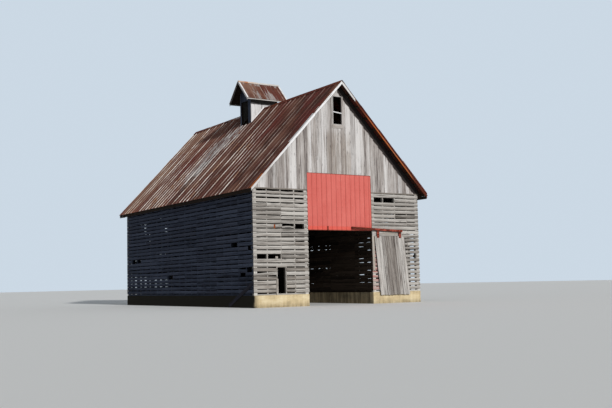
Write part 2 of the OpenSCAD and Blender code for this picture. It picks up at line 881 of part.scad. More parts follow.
// Corner posts, each on a header that spans two rafters under the roof covering
module cupola_posts() {
    side = cupola_post;
    near = stud_y(side_bays / 2 + 0.5) + stud_t;
    far = stud_y(side_bays / 2 + 1.5);
    color(INNER)
    for (x = [-1, 1], y = [-1, 1])
        mirror([x < 0 ? 1 : 0, 0, 0]) mirror([0, y < 0 ? 1 : 0, 0]) {
            difference() {
                translate([cupola_w / 2 - board_t - side, cupola_l / 2 - board_t - side,
                    rafter_z - cupola_w])
                    cube([side, side, cupola_rise + cupola_w]);
                upright(-half_l, total_l) under_roof(rafter_z - 20);
                lengthwise(-cupola_w, 2 * cupola_w) over_cupola();
            }
            intersection() {
                translate([cupola_w / 2 - board_t - side, near, rafter_z - cupola_w])
                    cube([side, far - near, cupola_w]);
                upright(-half_l, total_l) difference() {
                    under_roof(rafter_z);
                    under_roof(under_z);
                }
            }
        }
}

// Everything below a roof plane whose height at the ridge is z_mid
module under_roof(z_mid) {
    polygon([[-half_w, plate_top_z - total_w], [half_w, plate_top_z - total_w],
        [half_w, roof_at(z_mid, half_w)], [0, z_mid], [-half_w, roof_at(z_mid, half_w)]]);
}

// Everything above the underside of the cupola's roof
module over_cupola() {
    foot = cupola_under_z - lift;
    polygon([[-cupola_l, roof_at(foot, cupola_l)], [0, foot],
        [cupola_l, roof_at(foot, cupola_l)], [cupola_l, cupola_ridge_z + cupola_l],
        [-cupola_l, cupola_ridge_z + cupola_l]]);
}

module cupola_deck() {
    edge = cupola_eave_y - board_t;
    color(INNER)
    lengthwise(-cupola_verge_x + board_t, 2 * (cupola_verge_x - board_t))
        polygon([[0, cupola_under_z], [edge, roof_at(cupola_under_z, edge)],
            [edge, roof_at(cupola_deck_z, edge)], [0, cupola_deck_z],
            [-edge, roof_at(cupola_deck_z, edge)], [-edge, roof_at(cupola_under_z, edge)]]);
}

module cupola_slope_sheet() {
    reach = cupola_verge_x + verge_lip;
    crimps = [for (x = [-reach + cupola_crimp_pitch / 2 : cupola_crimp_pitch : reach - crimp_w]) x];
    rotate([0, 0, 90]) on_slope(cupola_deck_z + lift)
        translate([sheet_start, 0, 0]) rotate([90, 0, 90])
            linear_extrude((cupola_eave_y + verge_lip) * rise - sheet_start)
                polygon(sheet_section(-reach, reach, crimps, crimp_h, crimp_w, crest_w));
}

module cupola_sheets() {
    color(RUST) {
        cupola_slope_sheet();
        mirror([0, 1, 0]) cupola_slope_sheet();
    }
}

// Bargeboards at both open ends and a board along each eave, mitred into one ring
module cupola_trim() {
    drop = cupola_trim_h * rise;
    color(PALE)
    for (y = [-1, 1]) {
        for (x = [-cupola_verge_x, cupola_verge_x - board_t])
            lengthwise(x, board_t)
                polygon([[0, cupola_deck_z],
                    [y * cupola_eave_y, roof_at(cupola_deck_z, cupola_eave_y)],
                    [y * cupola_eave_y, roof_at(cupola_deck_z, cupola_eave_y) - drop],
                    [0, cupola_deck_z - drop]]);
        lengthwise(-cupola_verge_x, 2 * cupola_verge_x)
            polygon([[y * cupola_eave_y, roof_at(cupola_deck_z, cupola_eave_y)],
                [y * (cupola_eave_y - board_t), roof_at(cupola_deck_z, cupola_eave_y - board_t)],
                [y * (cupola_eave_y - board_t), roof_at(cupola_deck_z, cupola_eave_y) - cupola_eave_h],
                [y * cupola_eave_y, roof_at(cupola_deck_z, cupola_eave_y) - cupola_eave_h]]);
    }
    color(PALE) {
        cupola_strips();
        mirror([0, 1, 0]) cupola_strips();
    }
}

// Strips on the cupola's sheets along both open ends, from under the cap to the eave
module cupola_strips() {
    reach = cupola_verge_x + verge_lip;
    from = 0.3 * cap_wing;
    rotate([0, 0, 90]) on_slope(cupola_deck_z + 2 * lift)
        for (x = [-reach, reach - cupola_strip_w])
            translate([from, x, sheet_t])
                cube([(cupola_eave_y + verge_lip) * rise - from, cupola_strip_w, cupola_strip_t]);
}

module cupola_ridge_cap() {
    color(RUST)
    rotate([0, 0, 90]) upright(-cupola_verge_x, 2 * cupola_verge_x)
        cap_section(cupola_deck_z + (sheet_t + crimp_h) * rise + 2 * lift, 0.6 * cap_wing);
}

// The plank leans against the slats with one corner on the ground
module loose_plank() {
    color(SHADED)
    translate([-half_w - board_t, -half_l + plank_len * cos(plank_lean), 0])
        rotate([180 - plank_lean, 0, 0])
            mirror([0, 0, 1]) translate([0, 0, 0]) cube([board_t, plank_len, slat_h]);
}

foundations();
corner_posts();
left_wall_front();
left_wall_rear();
right_wall_front();
right_wall_rear();
left_alley_wall_front();
left_alley_wall_rear();
right_alley_wall_front();
right_alley_wall_rear();
front_left_wall();
front_right_wall();
rear_left_wall();
rear_right_wall();
tie_beams();
ridge_board();
rafters();
roof_battens();
left_roof_sheets();
right_roof_sheets();
ridge_cap();
bargeboards();
front_gable();
rear_gable();
gable_frames();
front_window_frame();
rear_window_frame();
doorway_headers();
panel_girts();
red_panel();
jamb_board();
track_board();
door_track();
sliding_door();
door_hangers();
rear_doors();
rear_track();
cupola_walls();
cupola_ends();
cupola_posts();
cupola_deck();
cupola_sheets();
cupola_trim();
cupola_ridge_cap();
loose_plank();
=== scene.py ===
"""Looks of a weathered drive-through corn crib with a rusted roof and one red sheet over its doorway."""
import itertools
import math
import random

import bmesh
import bpy
from mathutils import Matrix, Vector, noise


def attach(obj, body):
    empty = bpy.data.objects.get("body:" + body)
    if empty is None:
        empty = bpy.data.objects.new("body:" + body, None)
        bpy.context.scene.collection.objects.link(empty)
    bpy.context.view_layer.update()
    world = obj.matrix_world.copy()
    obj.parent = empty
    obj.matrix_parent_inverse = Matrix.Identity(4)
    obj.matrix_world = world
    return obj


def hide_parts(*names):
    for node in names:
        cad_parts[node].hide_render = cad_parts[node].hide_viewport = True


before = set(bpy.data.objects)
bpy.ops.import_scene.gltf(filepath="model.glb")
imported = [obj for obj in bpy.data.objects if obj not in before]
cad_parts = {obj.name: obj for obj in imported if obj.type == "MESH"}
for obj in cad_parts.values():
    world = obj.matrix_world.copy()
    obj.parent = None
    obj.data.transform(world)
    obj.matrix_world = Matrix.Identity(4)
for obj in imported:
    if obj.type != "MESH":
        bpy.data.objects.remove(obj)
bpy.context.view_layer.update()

# Sizes of the building in metres, the same as the part's
PITCH = 0.6096
HALF_W, HALF_L, HALF_ALLEY = 3.9624, 6.4008, 1.524
CRIB_W, TOTAL_L = 4 * PITCH, 21 * PITCH
BOARD, STUD_T, STUD_D = 0.022, 0.045, 0.14
STUD_IN = BOARD + STUD_D
FOUNDATION, SILL, PLATE, RIBBON = 0.46, 0.05, 0.09, 0.05
SLAT, GAP, ROWS = 0.14, 0.0235, 24
ROW = SLAT + GAP
FIRST_SLAT = FOUNDATION + SILL + GAP
SLAT_TOP = FIRST_SLAT + ROWS * ROW
PLATE_TOP = SLAT_TOP + PLATE
GABLE_FOOT = SLAT_TOP + RIBBON
DOOR_H, PANEL_H = 2.925, 2.245
PANEL_TOP = DOOR_H + PANEL_H
ANGLE = math.radians(46.6)
SLOPE, RISE = math.tan(ANGLE), 1 / math.cos(ANGLE)
COS, SIN = math.cos(ANGLE), math.sin(ANGLE)
RAFTER_Z, SHEET_Z, CREST_Z = 8.8445, 8.8768, 8.9045
TAIL_X, VERGE_Y, BARGE_Y = 4.1944, 6.7678, 6.7528
WINDOW_X, WINDOW_Z, WINDOW_W, WINDOW_H = -0.03, 7.1502, 0.45, 1.16
CUP_W, CUP_L, CUP_VERGE, CUP_EAVE = 0.70, 0.515, 1.07, 0.85
CUP_RIDGE, CUP_DECK, CUP_UNDER = 10.1595, 10.1319, 10.0999
SHEET_T, CRIMP_H = 0.003, 0.016

# The sag of a slat that has come off its studs, and the radius and height of the sheets' screws
SAG = 0.016
SCREW = (0.007, 0.004)

X, Y, Z = Vector((1, 0, 0)), Vector((0, 1, 0)), Vector((0, 0, 1))


def blur(a, b, x):
    """0 below a, 1 above b, smooth between."""
    t = min(1, max(0, (x - a) / (b - a)))
    return t * t * (3 - 2 * t)


def wander(x, y=0.0, z=0.0):
    """Smooth noise from about -1 to 1."""
    return noise.noise(Vector((x, y, z)))


# Materials

def shade(colour):
    """Linear values of a colour, which may be written as six hex digits."""
    if not isinstance(colour, str):
        return colour
    parts = [int(colour[i:i + 2], 16) / 255 for i in (0, 2, 4)]
    return tuple(p / 12.92 if p < 0.04045 else ((p + 0.055) / 1.055) ** 2.4 for p in parts)


def dim(colour, share):
    return tuple(c * share for c in colour)


def add_node(tree, kind, sockets=None, out=0, **props):
    """An output of a new node. Each of its sockets gets a link or a value."""
    node = tree.nodes.new("ShaderNode" + kind)
    for key, value in props.items():
        setattr(node, key, value)
    for key, value in (sockets or {}).items():
        if isinstance(value, bpy.types.NodeSocket):
            tree.links.new(value, node.inputs[key])
        else:
            node.inputs[key].default_value = value
    return node.outputs[out]


class Finish:
    """A procedural material, with short names for the nodes that make it; its patterns follow self.grain."""

    def __init__(self, name, roughness, specular, own_points=True):
        self.mat = bpy.data.materials.new(name)
        self.mat.use_nodes = True
        self.tree = self.mat.node_tree
        self.shader = self.tree.nodes["Principled BSDF"]
        self.shader.inputs["Roughness"].default_value = roughness
        self.shader.inputs["Specular IOR Level"].default_value = specular
        if own_points:
            self.grain = self.node("Attribute", out="Vector", attribute_name="grain")
            self.tone = self.split(self.node("Attribute", out="Vector", attribute_name="tone"))
        else:
            self.grain = self.node("TexCoord", out="Object")

    def node(self, kind, sockets=None, out=0, **props):
        return add_node(self.tree, kind, sockets, out, **props)

    def split(self, vector):
        return self.node("SeparateXYZ", {0: vector}).node.outputs[:3]

    def join(self, x, y, z):
        return self.node("CombineXYZ", {0: x, 1: y, 2: z})

    def scaled(self, *by):
        return self.node("VectorMath", {0: self.grain, 1: by}, operation="MULTIPLY")

    def noise(self, x, y, z, detail=4, rough=0.6, distort=0.0):
        return self.node("TexNoise", {"Vector": self.scaled(x, y, z), "Scale": 1.0, "Detail": detail,
                                      "Roughness": rough, "Distortion": distort})

    def cells(self, x, y, z):
        return self.node("TexVoronoi", {"Vector": self.scaled(x, y, z), "Scale": 1.0})

    def math(self, how, a, b=0.0, c=0.0):
        return self.node("Math", {0: a, 1: b, 2: c}, operation=how)

    def times(self, a, b):
        return self.math("MULTIPLY", a, b)

    def band(self, value, low, high, to_low=0.0, to_high=1.0):
        return self.node("MapRange", {0: value, 1: low, 2: high, 3: to_low, 4: to_high},
                         interpolation_type="SMOOTHSTEP")

    def total(self, *parts):
        """The sum of (socket, weight) pairs."""
        value = self.times(*parts[0])
        for socket, weight in parts[1:]:
            value = self.math("MULTIPLY_ADD", socket, weight, value)
        return value

    def ramp(self, value, *stops):
        node = self.node("ValToRGB", {0: value}).node
        ramp = node.color_ramp
        while len(ramp.elements) < len(stops):
            ramp.elements.new(0.5)
        for element, (at, colour) in zip(ramp.elements, stops):
            element.position = at
            element.color = (*shade(colour), 1)
        return node.outputs[0]

    def lay(self, under, over, share, times=None):
        """One colour laid over another, by a share that may be a product."""
        if times is not None:
            share = self.times(share, times)
        under, over = ((*c, 1) if isinstance(c, tuple) else c for c in map(shade, (under, over)))
        return self.node("Mix", {0: share, 6: under, 7: over}, out=2, data_type="RGBA", blend_type="MIX")

    def finish(self, colour, roughness, height, depth, metallic=None):
        bump = self.node("Bump", {"Height": height, "Strength": 0.6, "Distance": depth})
        sockets = {"Base Color": colour, "Roughness": roughness, "Metallic": metallic, "Normal": bump}
        for key, socket in sockets.items():
            if socket is not None:
                self.tree.links.new(socket, self.shader.inputs[key])
        return self.mat


def wood(f, tints, light, warmth, grime_and_shade):
    """Bare timber that has weathered: streaks along the grain, checks and knots, and a third tone that darkens
    it, as dirt and as painted shade.
    """
    pale, grey, dark, warm = map(shade, tints)
    streak = f.noise(0.8, 22, 22, 6, 0.68, 0.5)
    fibre = f.noise(3.2, 190, 190, 3, 0.62)
    cloud = f.noise(1.3, 3.5, 3.5, 3)
    run = f.noise(0.45, 52, 52, 2, 0.5)
    smear = f.noise(0.7, 13, 13, 3, 0.55, 1.0)
    knot = f.band(f.cells(1.9, 8.0, 1.0), 0.05, 0.17, 1.0, 0.0)
    check = f.times(f.band(run, 0.585, 0.645), f.band(cloud, 0.40, 0.55))
    value = f.total((streak, 0.72), (cloud, 0.26), (fibre, 0.26), (light, 0.22),
                    (f.band(smear, 0.54, 0.70), -0.20))
    colour = f.ramp(value, (0.30, dark), (0.50, grey), (0.74, pale))
    colour = f.lay(colour, warm, warmth, f.band(cloud, 0.3, 0.7, 0.35, 1.0))
    colour = f.lay(colour, dim(dark, 0.45), knot, 0.55)
    colour = f.lay(colour, dim(dark, 0.25), check, 0.85)
    # The third tone darkens the wood: dirt, and painted shade where a piece puts it there
    colour = f.lay(colour, dim(dark, 0.28), grime_and_shade, f.band(streak, 0.25, 0.75, 1.0, 0.45))
    height = f.total((streak, 0.5), (fibre, 0.35), (check, -1.2), (knot, 0.25))
    return colour, f.band(value, 0.3, 0.8, 0.78, 0.95), height


GRAIN_DEPTH = 0.0016


def board_wood(name, tints, painted=False):
    """Timber that reads the boards' own points, with faded red paint that has flaked off if it is painted."""
    f = Finish(name, 0.9, 0.06 if painted else 0.05)
    colour, rough, height = wood(f, tints, *f.tone)
    if painted:
        left = f.noise(1.6, 30, 30)
        colour = f.lay(colour, f.lay("8e4039", "dba59d", left), f.band(left, 0.38, 0.60, 0.92, 0.1))
    return f.finish(colour, rough, height, GRAIN_DEPTH)


def frame_wood(name, axis, pitch, mirrored=False):
    """Timber of the framing in the sheltered tints, darkened as painted shade of the soffits and the inside: the
    grain runs along axis, and each piece pitch apart has its own tone.
    """
    f = Finish(name, 0.9, 0.05, False)
    x, y, z = f.split(f.grain)
    if mirrored:
        x = f.math("ABSOLUTE", x)
    at = f.join(x, y, z)
    axis = Vector(axis).normalized()
    other = axis.orthogonal().normalized()
    parts = [f.node("VectorMath", {0: at, 1: tuple(v)}, out="Value", operation="DOT_PRODUCT")
             for v in (axis, other, axis.cross(other))]
    step = f.node("VectorMath", {0: f.grain, 1: pitch}, operation="SNAP")
    own = f.node("TexWhiteNoise", {0: step}, out="Value", noise_dimensions="3D")
    f.grain = f.join(parts[0], parts[1], f.math("MULTIPLY_ADD", own, 7.0, parts[2]))
    light = f.math("MULTIPLY_ADD", own, 1.2, -0.6)
    return f.finish(*wood(f, SHELTERED_SHADE, light, f.times(own, 0.4), f.times(own, 0.3)), GRAIN_DEPTH)


def roof_metal(name, tints, specks, crested=True):
    """Old sheets: rust that runs down the slope, grey where zinc is left, and pale on the crests as wear and as a
    painted highlight of their sunlit flanks.
    """
    f = Finish(name, 0.75, 0.08)
    brown, deep, zinc, orange, bone = map(shade, tints)
    wine = tuple(c * k for c, k in zip(brown, (0.86, 0.55, 0.66)))
    tan = tuple((a + b) / 2 for a, b in zip(brown, bone))
    zinc_left, dark, glow = f.tone
    streak = f.noise(0.38, 9, 0, 5, 0.68, 0.4)
    thin = f.noise(1.1, 22, 0, 4, 0.68)
    patch = f.noise(1.5, 2.2, 0, 5, 0.62)
    grit = f.noise(60, 60, 60, 3, 0.7)
    speck = f.noise(4.5, 17, 0, 3, 0.7)
    cloud = f.noise(0.35, 0.5, 0, 3)
    value = f.total((streak, 0.40), (thin, 0.30), (patch, 0.14), (speck, 0.28), (dark, -0.3))
    colour = f.ramp(value, (0.38, deep), (0.54, brown), (0.72, bone))
    colour = f.lay(colour, tan, f.band(cloud, 0.50, 0.66, 0.0, 0.6))
    colour = f.lay(colour, wine, f.band(cloud, 0.50, 0.36, 0.0, 0.7))
    lines = f.band(f.noise(1.4, 8, 0, 3), 0.46, 0.58)
    worn = f.total((f.times(zinc_left, lines), 0.9), (zinc_left, 0.45), (thin, 0.8), (patch, 0.5))
    metal = f.lay(dim(zinc, 0.72), zinc, f.band(grit, 0.35, 0.7))
    colour = f.lay(colour, metal, f.band(worn, 0.92, 1.35), 0.9)
    fresh = f.total((glow, 1.0), (patch, 0.6), (grit, 0.5))
    colour = f.lay(colour, orange, f.band(fresh, 0.78, 1.2), specks)
    # Pale crests: worn metal, and a painted highlight of the flanks that face the light
    if crested:
        bright = f.lay("c8a58a", "f2ebe3", f.band(patch, 0.36, 0.50))
        colour = f.lay(colour, bright, f.split(f.grain)[2], f.band(thin, 0.36, 0.58, 0.25, 1.0))
    height = f.total((grit, 0.5), (patch, 0.6), (thin, 0.2))
    metallic = f.band(worn, 0.95, 1.4, 0.0, 0.12)
    return f.finish(colour, f.band(worn, 0.8, 1.3, 0.85, 0.66), height, 0.0012, metallic)


def red_metal():
    """Faded red paint on a ribbed sheet, chalked in streaks, with rust at its edges and screws, and painted shade
    on the flanks of its ribs.
    """
    f = Finish("Faded red sheet", 0.55, 0.25)
    edge, fade, fresh = f.tone
    streak = f.noise(0.5, 13, 0)
    cloud = f.noise(1.1, 0.9, 0)
    grit = f.noise(90, 90, 90, 3)
    value = f.total((streak, 0.4), (cloud, 0.4), (fade, 0.25))
    colour = f.ramp(value, (0.25, "c35a51"), (0.5, "d36e65"), (0.75, "dd8c82"))
    colour = f.lay(colour, "d9503f", fresh, 0.6)
    # Painted shade on the rib flanks: darkest halfway up a rib
    rib = f.split(f.grain)[2]
    colour = f.lay(colour, "7e2f29", f.times(rib, f.math("SUBTRACT", 1.0, rib)), 2.6)
    rust = f.band(f.total((edge, 0.9), (grit, 0.5), (cloud, 0.4)), 0.85, 1.15)
    colour = f.lay(colour, "6e3524", rust, 0.85)
    colour = f.lay(colour, "ecbab0", f.band(f.noise(7, 40, 0, 3), 0.55, 0.75, 0.0, 0.18))
    return f.finish(colour, f.band(value, 0.3, 0.7, 0.55, 0.72), f.total((grit, 0.3), (cloud, 1.0)), 0.002)


def plain_rust(name, tints, painted_from=-9.0):
    """A rusted bar or bracket, flaked, with traces of old red paint to the right of painted_from."""
    f = Finish(name, 0.85, 0.1, False)
    dark, brown, paint = tints
    flake = f.noise(34, 34, 34, 5, 0.65)
    patch = f.noise(5, 9, 11)
    colour = f.ramp(f.total((flake, 0.6), (patch, 0.4)), (0.36, dark), (0.6, brown))
    painted = f.band(f.split(f.grain)[0], painted_from, painted_from + 0.3)
    colour = f.lay(colour, paint, painted, f.band(f.total((patch, 0.7), (flake, 0.3)), 0.46, 0.56))
    return f.finish(colour, f.band(flake, 0.3, 0.7, 0.92, 0.7), flake, 0.002)


def concrete():
    """Cast concrete with stones that show through, stains, a darker wet foot, and near black painted shade where
    the first tone passes 1.
    """
    f = Finish("Old concrete", 0.95, 0.05)
    damp_and_shade, chip, _ = f.tone
    sand = f.noise(110, 110, 110, 3, 0.7)
    cloud = f.noise(1.6, 1.6, 4.0, 5, 0.62)
    stain = f.noise(7, 7, 0.9)
    stone = f.band(f.cells(34, 34, 34), 0.18, 0.36, 1.0, 0.0)
    pit = f.band(f.cells(19, 19, 19), 0.05, 0.12, 1.0, 0.0)
    value = f.total((cloud, 0.55), (sand, 0.3), (stain, 0.25))
    colour = f.ramp(value, (0.34, "8f8168"), (0.55, "cbb893"), (0.75, "e6dabb"))
    colour = f.lay(colour, "8d8577", stone, f.band(f.total((chip, 1.0), (cloud, 0.5)), 0.3, 0.8, 0.12, 0.7))
    colour = f.lay(colour, "5a5143", pit, 0.6)
    colour = f.lay(colour, "5d5444", damp_and_shade, f.band(stain, 0.3, 0.7, 0.9, 0.4))
    # Near black where the first tone passes 1: painted shade, with moss
    colour = f.lay(colour, "26241f", f.band(f.total((damp_and_shade, 1.0), (cloud, 0.5)), 1.0, 1.5))
    return f.finish(colour, None, f.total((sand, 0.5), (stone, 0.5), (pit, -1.0), (cloud, 0.6)), 0.003)


# Tints of wood: pale, grey, dark and warm
SILVER = ("bdb9b4", "8b8681", "47423e", "857667")
# Sheltered wood, darkened as painted shade: soffits, framing, the alley and the eave board on the left
SHELTERED_SHADE = ("3d342d", "2a231e", "14110f", "33281f")

slats_wood = board_wood("Silvered slats", SILVER)
gable_wood = board_wood("Silvered gable boards", ("d0cdcc", "9f9894", "585150", "8c7e71"))
# Slats and boards in painted bluish shade: the left side, the loose plank and the cupola's ends
bluish_shade_wood = board_wood("Slats in painted shade", ("4b5263", "373d4c", "1d2029", "3b373d"))
# Sheltered boards in painted shade: the alley, the left eave and the inside of the cupola
inner_wood = board_wood("Sheltered boards in painted shade", SHELTERED_SHADE)
stud_wood = board_wood("Studs behind the slats", ("cac6c0", "a39e98", "625c55", "93816f"))
trim_wood = board_wood("Pale trim", ("eeeef0", "d0d0d2", "8f8d8b", "a99d8e"))
door_wood = board_wood("Streaked door planks", ("c2beba", "837d79", "36312e", "776a5f"))
red_slats = board_wood("Slats with faded red paint", SILVER, True)

# Tints of sheets: brown, deep brown, zinc, orange and bone. Those of iron: dark, brown and paint
rust_sheet = roof_metal("Rusted roof sheets", ("6a3e33", "38211b", "c4bebb", "a4562d", "8e6e5d"), 0.75)
cupola_rust = roof_metal("Rusted cupola sheets", ("6c4438", "38221c", "aaa19d", "a4562d", "a98a76"), 0.75)
rust_edge = roof_metal("Rusted edge strips", ("6a3527", "3a1f19", "a8a3a0", "bc6a34", "8a5a44"), 0.9, False)
pale_cap = roof_metal("Worn ridge cap", ("c4a793", "8e6a58", "dcd8d4", "b26a3c", "e4d6ca"), 0.7, False)
tin = roof_metal("Rusted tin patch", ("7c4632", "4e2a20", "a8a3a0", "b8602e", "8a5a44"), 0.9, False)
rail_rust = plain_rust("Rusted rail", ("3a1a14", "6e3226", "9c4a3c"), 1.5)
dark_iron = plain_rust("Rusted nails", ("2e211c", "5a3a2c", "6b4636"))
red_sheet = red_metal()
cast = concrete()


# Shapes

class Shape:
    """One piece in the making: its points, its faces and what its materials read at each point."""

    def __init__(self, seed, *materials):
        self.rnd = random.Random(seed)
        self.materials = materials
        self.verts, self.faces, self.slots, self.grain, self.tone = [], [], [], [], []

    def point(self, at, grain, tone):
        self.verts.append(tuple(at))
        self.grain.extend(grain)
        self.tone.extend(tone)
        return len(self.verts) - 1

    def face(self, corners, slot=0):
        self.faces.append(corners)
        self.slots.append(slot)

    def own_tone(self, spread=0.5, warm=0.25, grime_and_shade=0.25, lift=0.0):
        """A board's own tone at random: lightness, warmth and dirt."""
        r = self.rnd
        return (lift + r.gauss(0, spread), max(0, r.gauss(0, warm)), max(0, r.gauss(-0.1, grime_and_shade)))

    def board(self, start, end, out, width, thick, tone, slot=0, cut=(None, None), bow=0.0, crook=0.0,
              twist=0.0, rag=(0.0, 0.0), step=0.32, wane=0.002, wear=0.0012, dull=1.0):
        """A board from start to end, the middle line of its back; out points from its back to its face.

        tone may be a function of the place. The back is darker by dull: partly as wood that the weather doesn't
        reach, partly as painted shade of the insides, most where dull is raised."""
        start, end, out = Vector(start), Vector(end), Vector(out)
        run = end - start
        length = run.length
        run.normalize()
        side = out.cross(run)
        half = width / 2
        wane = min(wane, thick / 4, width / 8)
        cols = [(-half, wane), (-half + wane, 0), (-half / 3, 0), (half / 3, 0), (half - wane, 0), (half, wane)]
        outline = [(k, a, thick - dip, True) for k, (a, dip) in enumerate(cols)]
        outline += [(k, cols[k][0], cols[k][1], False) for k in range(5, -1, -1)]
        count = max(1, round(length / step))
        r = self.rnd
        seed, offset = r.uniform(0, 90), r.uniform(0, 20)
        ragged = [[r.uniform(0, most) for _ in cols] for most in rag]
        rings = []
        for i in range(count + 1):
            share = i / count
            swell = math.sin(math.pi * share)
            turn = twist * (share - 0.5)
            slip = r.uniform(-wear, wear)
            ring = []
            for k, a, b, is_face in outline:
                along = share * length
                if i in (0, count):
                    last = i == count
                    along += (1, -1)[last] * ragged[last][k]
                    if cut[last] is not None:
                        along -= (a * side.dot(cut[last]) + b * out.dot(cut[last])) / run.dot(cut[last])
                if is_face and 0 < k < 5:
                    b -= r.uniform(0, wear)
                b += bow * swell + a * turn + abs(turn) * half
                at = start + run * along + side * (a + crook * swell + slip) + out * b
                light, warm, grime_and_shade = tone(at) if callable(tone) else tone
                if not is_face:
                    light, grime_and_shade = light - 1.5 * dull, grime_and_shade + 0.9 * dull
                ring.append(self.point(at, (along + offset, a, b + seed), (light, warm, grime_and_shade)))
            rings.append(ring)
        for near, far in zip(rings, rings[1:]):
            for j in range(12):
                k = (j + 1) % 12
                self.face((near[j], far[j], far[k], near[k]), slot)
        for ring in (rings[0], rings[-1]):
            for j in range(5):
                self.face((ring[j], ring[j + 1], ring[10 - j], ring[11 - j]), slot)

    def nail(self, at, out, radius=0.0045, height=0.0022):
        """A nail or screw head: a low dome in the second material."""
        at, out = Vector(at), Vector(out)
        u = out.orthogonal().normalized()
        v = out.cross(u)
        spin = self.rnd.uniform(0, 1)
        turns = [spin + math.tau * k / 6 for k in range(6)]
        rings = [[self.point(at + out * rise + (u * math.cos(q) + v * math.sin(q)) * radius * size,
                             (at.x + at.y, at.z, rise), (0, 0, 0)) for q in turns]
                 for size, rise in ((1.0, -0.002), (1.0, height * 0.5), (0.6, height))]
        for low, high in zip(rings, rings[1:]):
            for j in range(6):
                k = (j + 1) % 6
                self.face((low[j], low[k], high[k], high[j]), 1)
        self.face(tuple(rings[-1]), 1)
        self.face(tuple(rings[0][::-1]), 1)

    def sheet(self, place, across, down, lift, tone, crest=lambda y, s: 0.0, under=None, skip=lambda y, s: False):
        """A thin sheet over (position, height) pairs across and stations down; place(y, s, h) gives a point.

        crest(y, s) says how strongly its ribs are marked: pale wear with a painted highlight on the roof sheets,
        painted shade on the red one. under is the tone of its lower side, and what skip(y, s) names is left out."""
        nx, ns = len(across), len(down)
        tall = max(h for _, h in across) or 1.0
        top, low = [[[self.point(place(y, s, h + level + lift(y, s)),
                                 (s, y, crest(y, s) * blur(0.05, 0.5, h / tall) if level else 0.0),
                                 tone(y, s) if level or under is None else under)
                      for s in down] for y, h in across] for level in (SHEET_T, 0.0)]

        def kept(i, j):
            inside = 0 <= i < nx - 1 and 0 <= j < ns - 1
            return inside and not skip((across[i][0] + across[i + 1][0]) / 2, (down[j] + down[j + 1]) / 2)

        for i, j in ((i, j) for i in range(nx - 1) for j in range(ns - 1) if kept(i, j)):
            corners = ((i, j), (i + 1, j), (i + 1, j + 1), (i, j + 1))
            self.face(tuple(top[a][b] for a, b in corners))
            self.face(tuple(low[a][b] for a, b in corners[::-1]))
            for n, beside in enumerate(((i, j - 1), (i + 1, j), (i, j + 1), (i - 1, j))):
                if not kept(*beside):
                    (a, b), (c, d) = corners[n], corners[(n + 1) % 4]
                    self.face((top[a][b], low[a][b], low[c][d], top[c][d]))

    def make(self, name, slot, *nodes, body="building", angle=32):
        """The piece itself. It stands for the nodes named, or for the one of its own name."""
        mesh = bpy.data.meshes.new(name)
        mesh.from_pydata(self.verts, [], self.faces)
        for key, values in (("grain", self.grain), ("tone", self.tone)):
            mesh.attributes.new(key, "FLOAT_VECTOR", "POINT").data.foreach_set("vector", values)
        mesh.polygons.foreach_set("material_index", self.slots)
        for material in self.materials:
            mesh.materials.append(material)
        work = bmesh.new()
        work.from_mesh(mesh)
        bmesh.ops.delete(work, geom=[v for v in work.verts if not v.link_faces], context="VERTS")
        bmesh.ops.recalc_face_normals(work, faces=work.faces)
        work.to_mesh(mesh)
        work.free()
        mesh.shade_smooth()
        mesh.set_sharp_from_angle(angle=math.radians(angle))
        obj = bpy.data.objects.new(name, mesh)
        bpy.context.scene.collection.objects.link(obj)
        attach(obj, body)
        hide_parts(*(nodes or (name,)))


# Slatted walls

def row_z(row):
    """The foot of a row of slats."""
    return FIRST_SLAT + row * ROW


def stretches(start, end, holes):
    """What is left of start to end when the holes are cut out."""
    left = [(start, end)]
    for low, high in holes:
        left = [part for a, b in left for part in ((a, min(b, low)), (max(a, high), b))
                if part[1] - part[0] > 0.03]
    return left


def nowhere(row, u):
    """For walls whose slats are all alike."""
    return 0.0


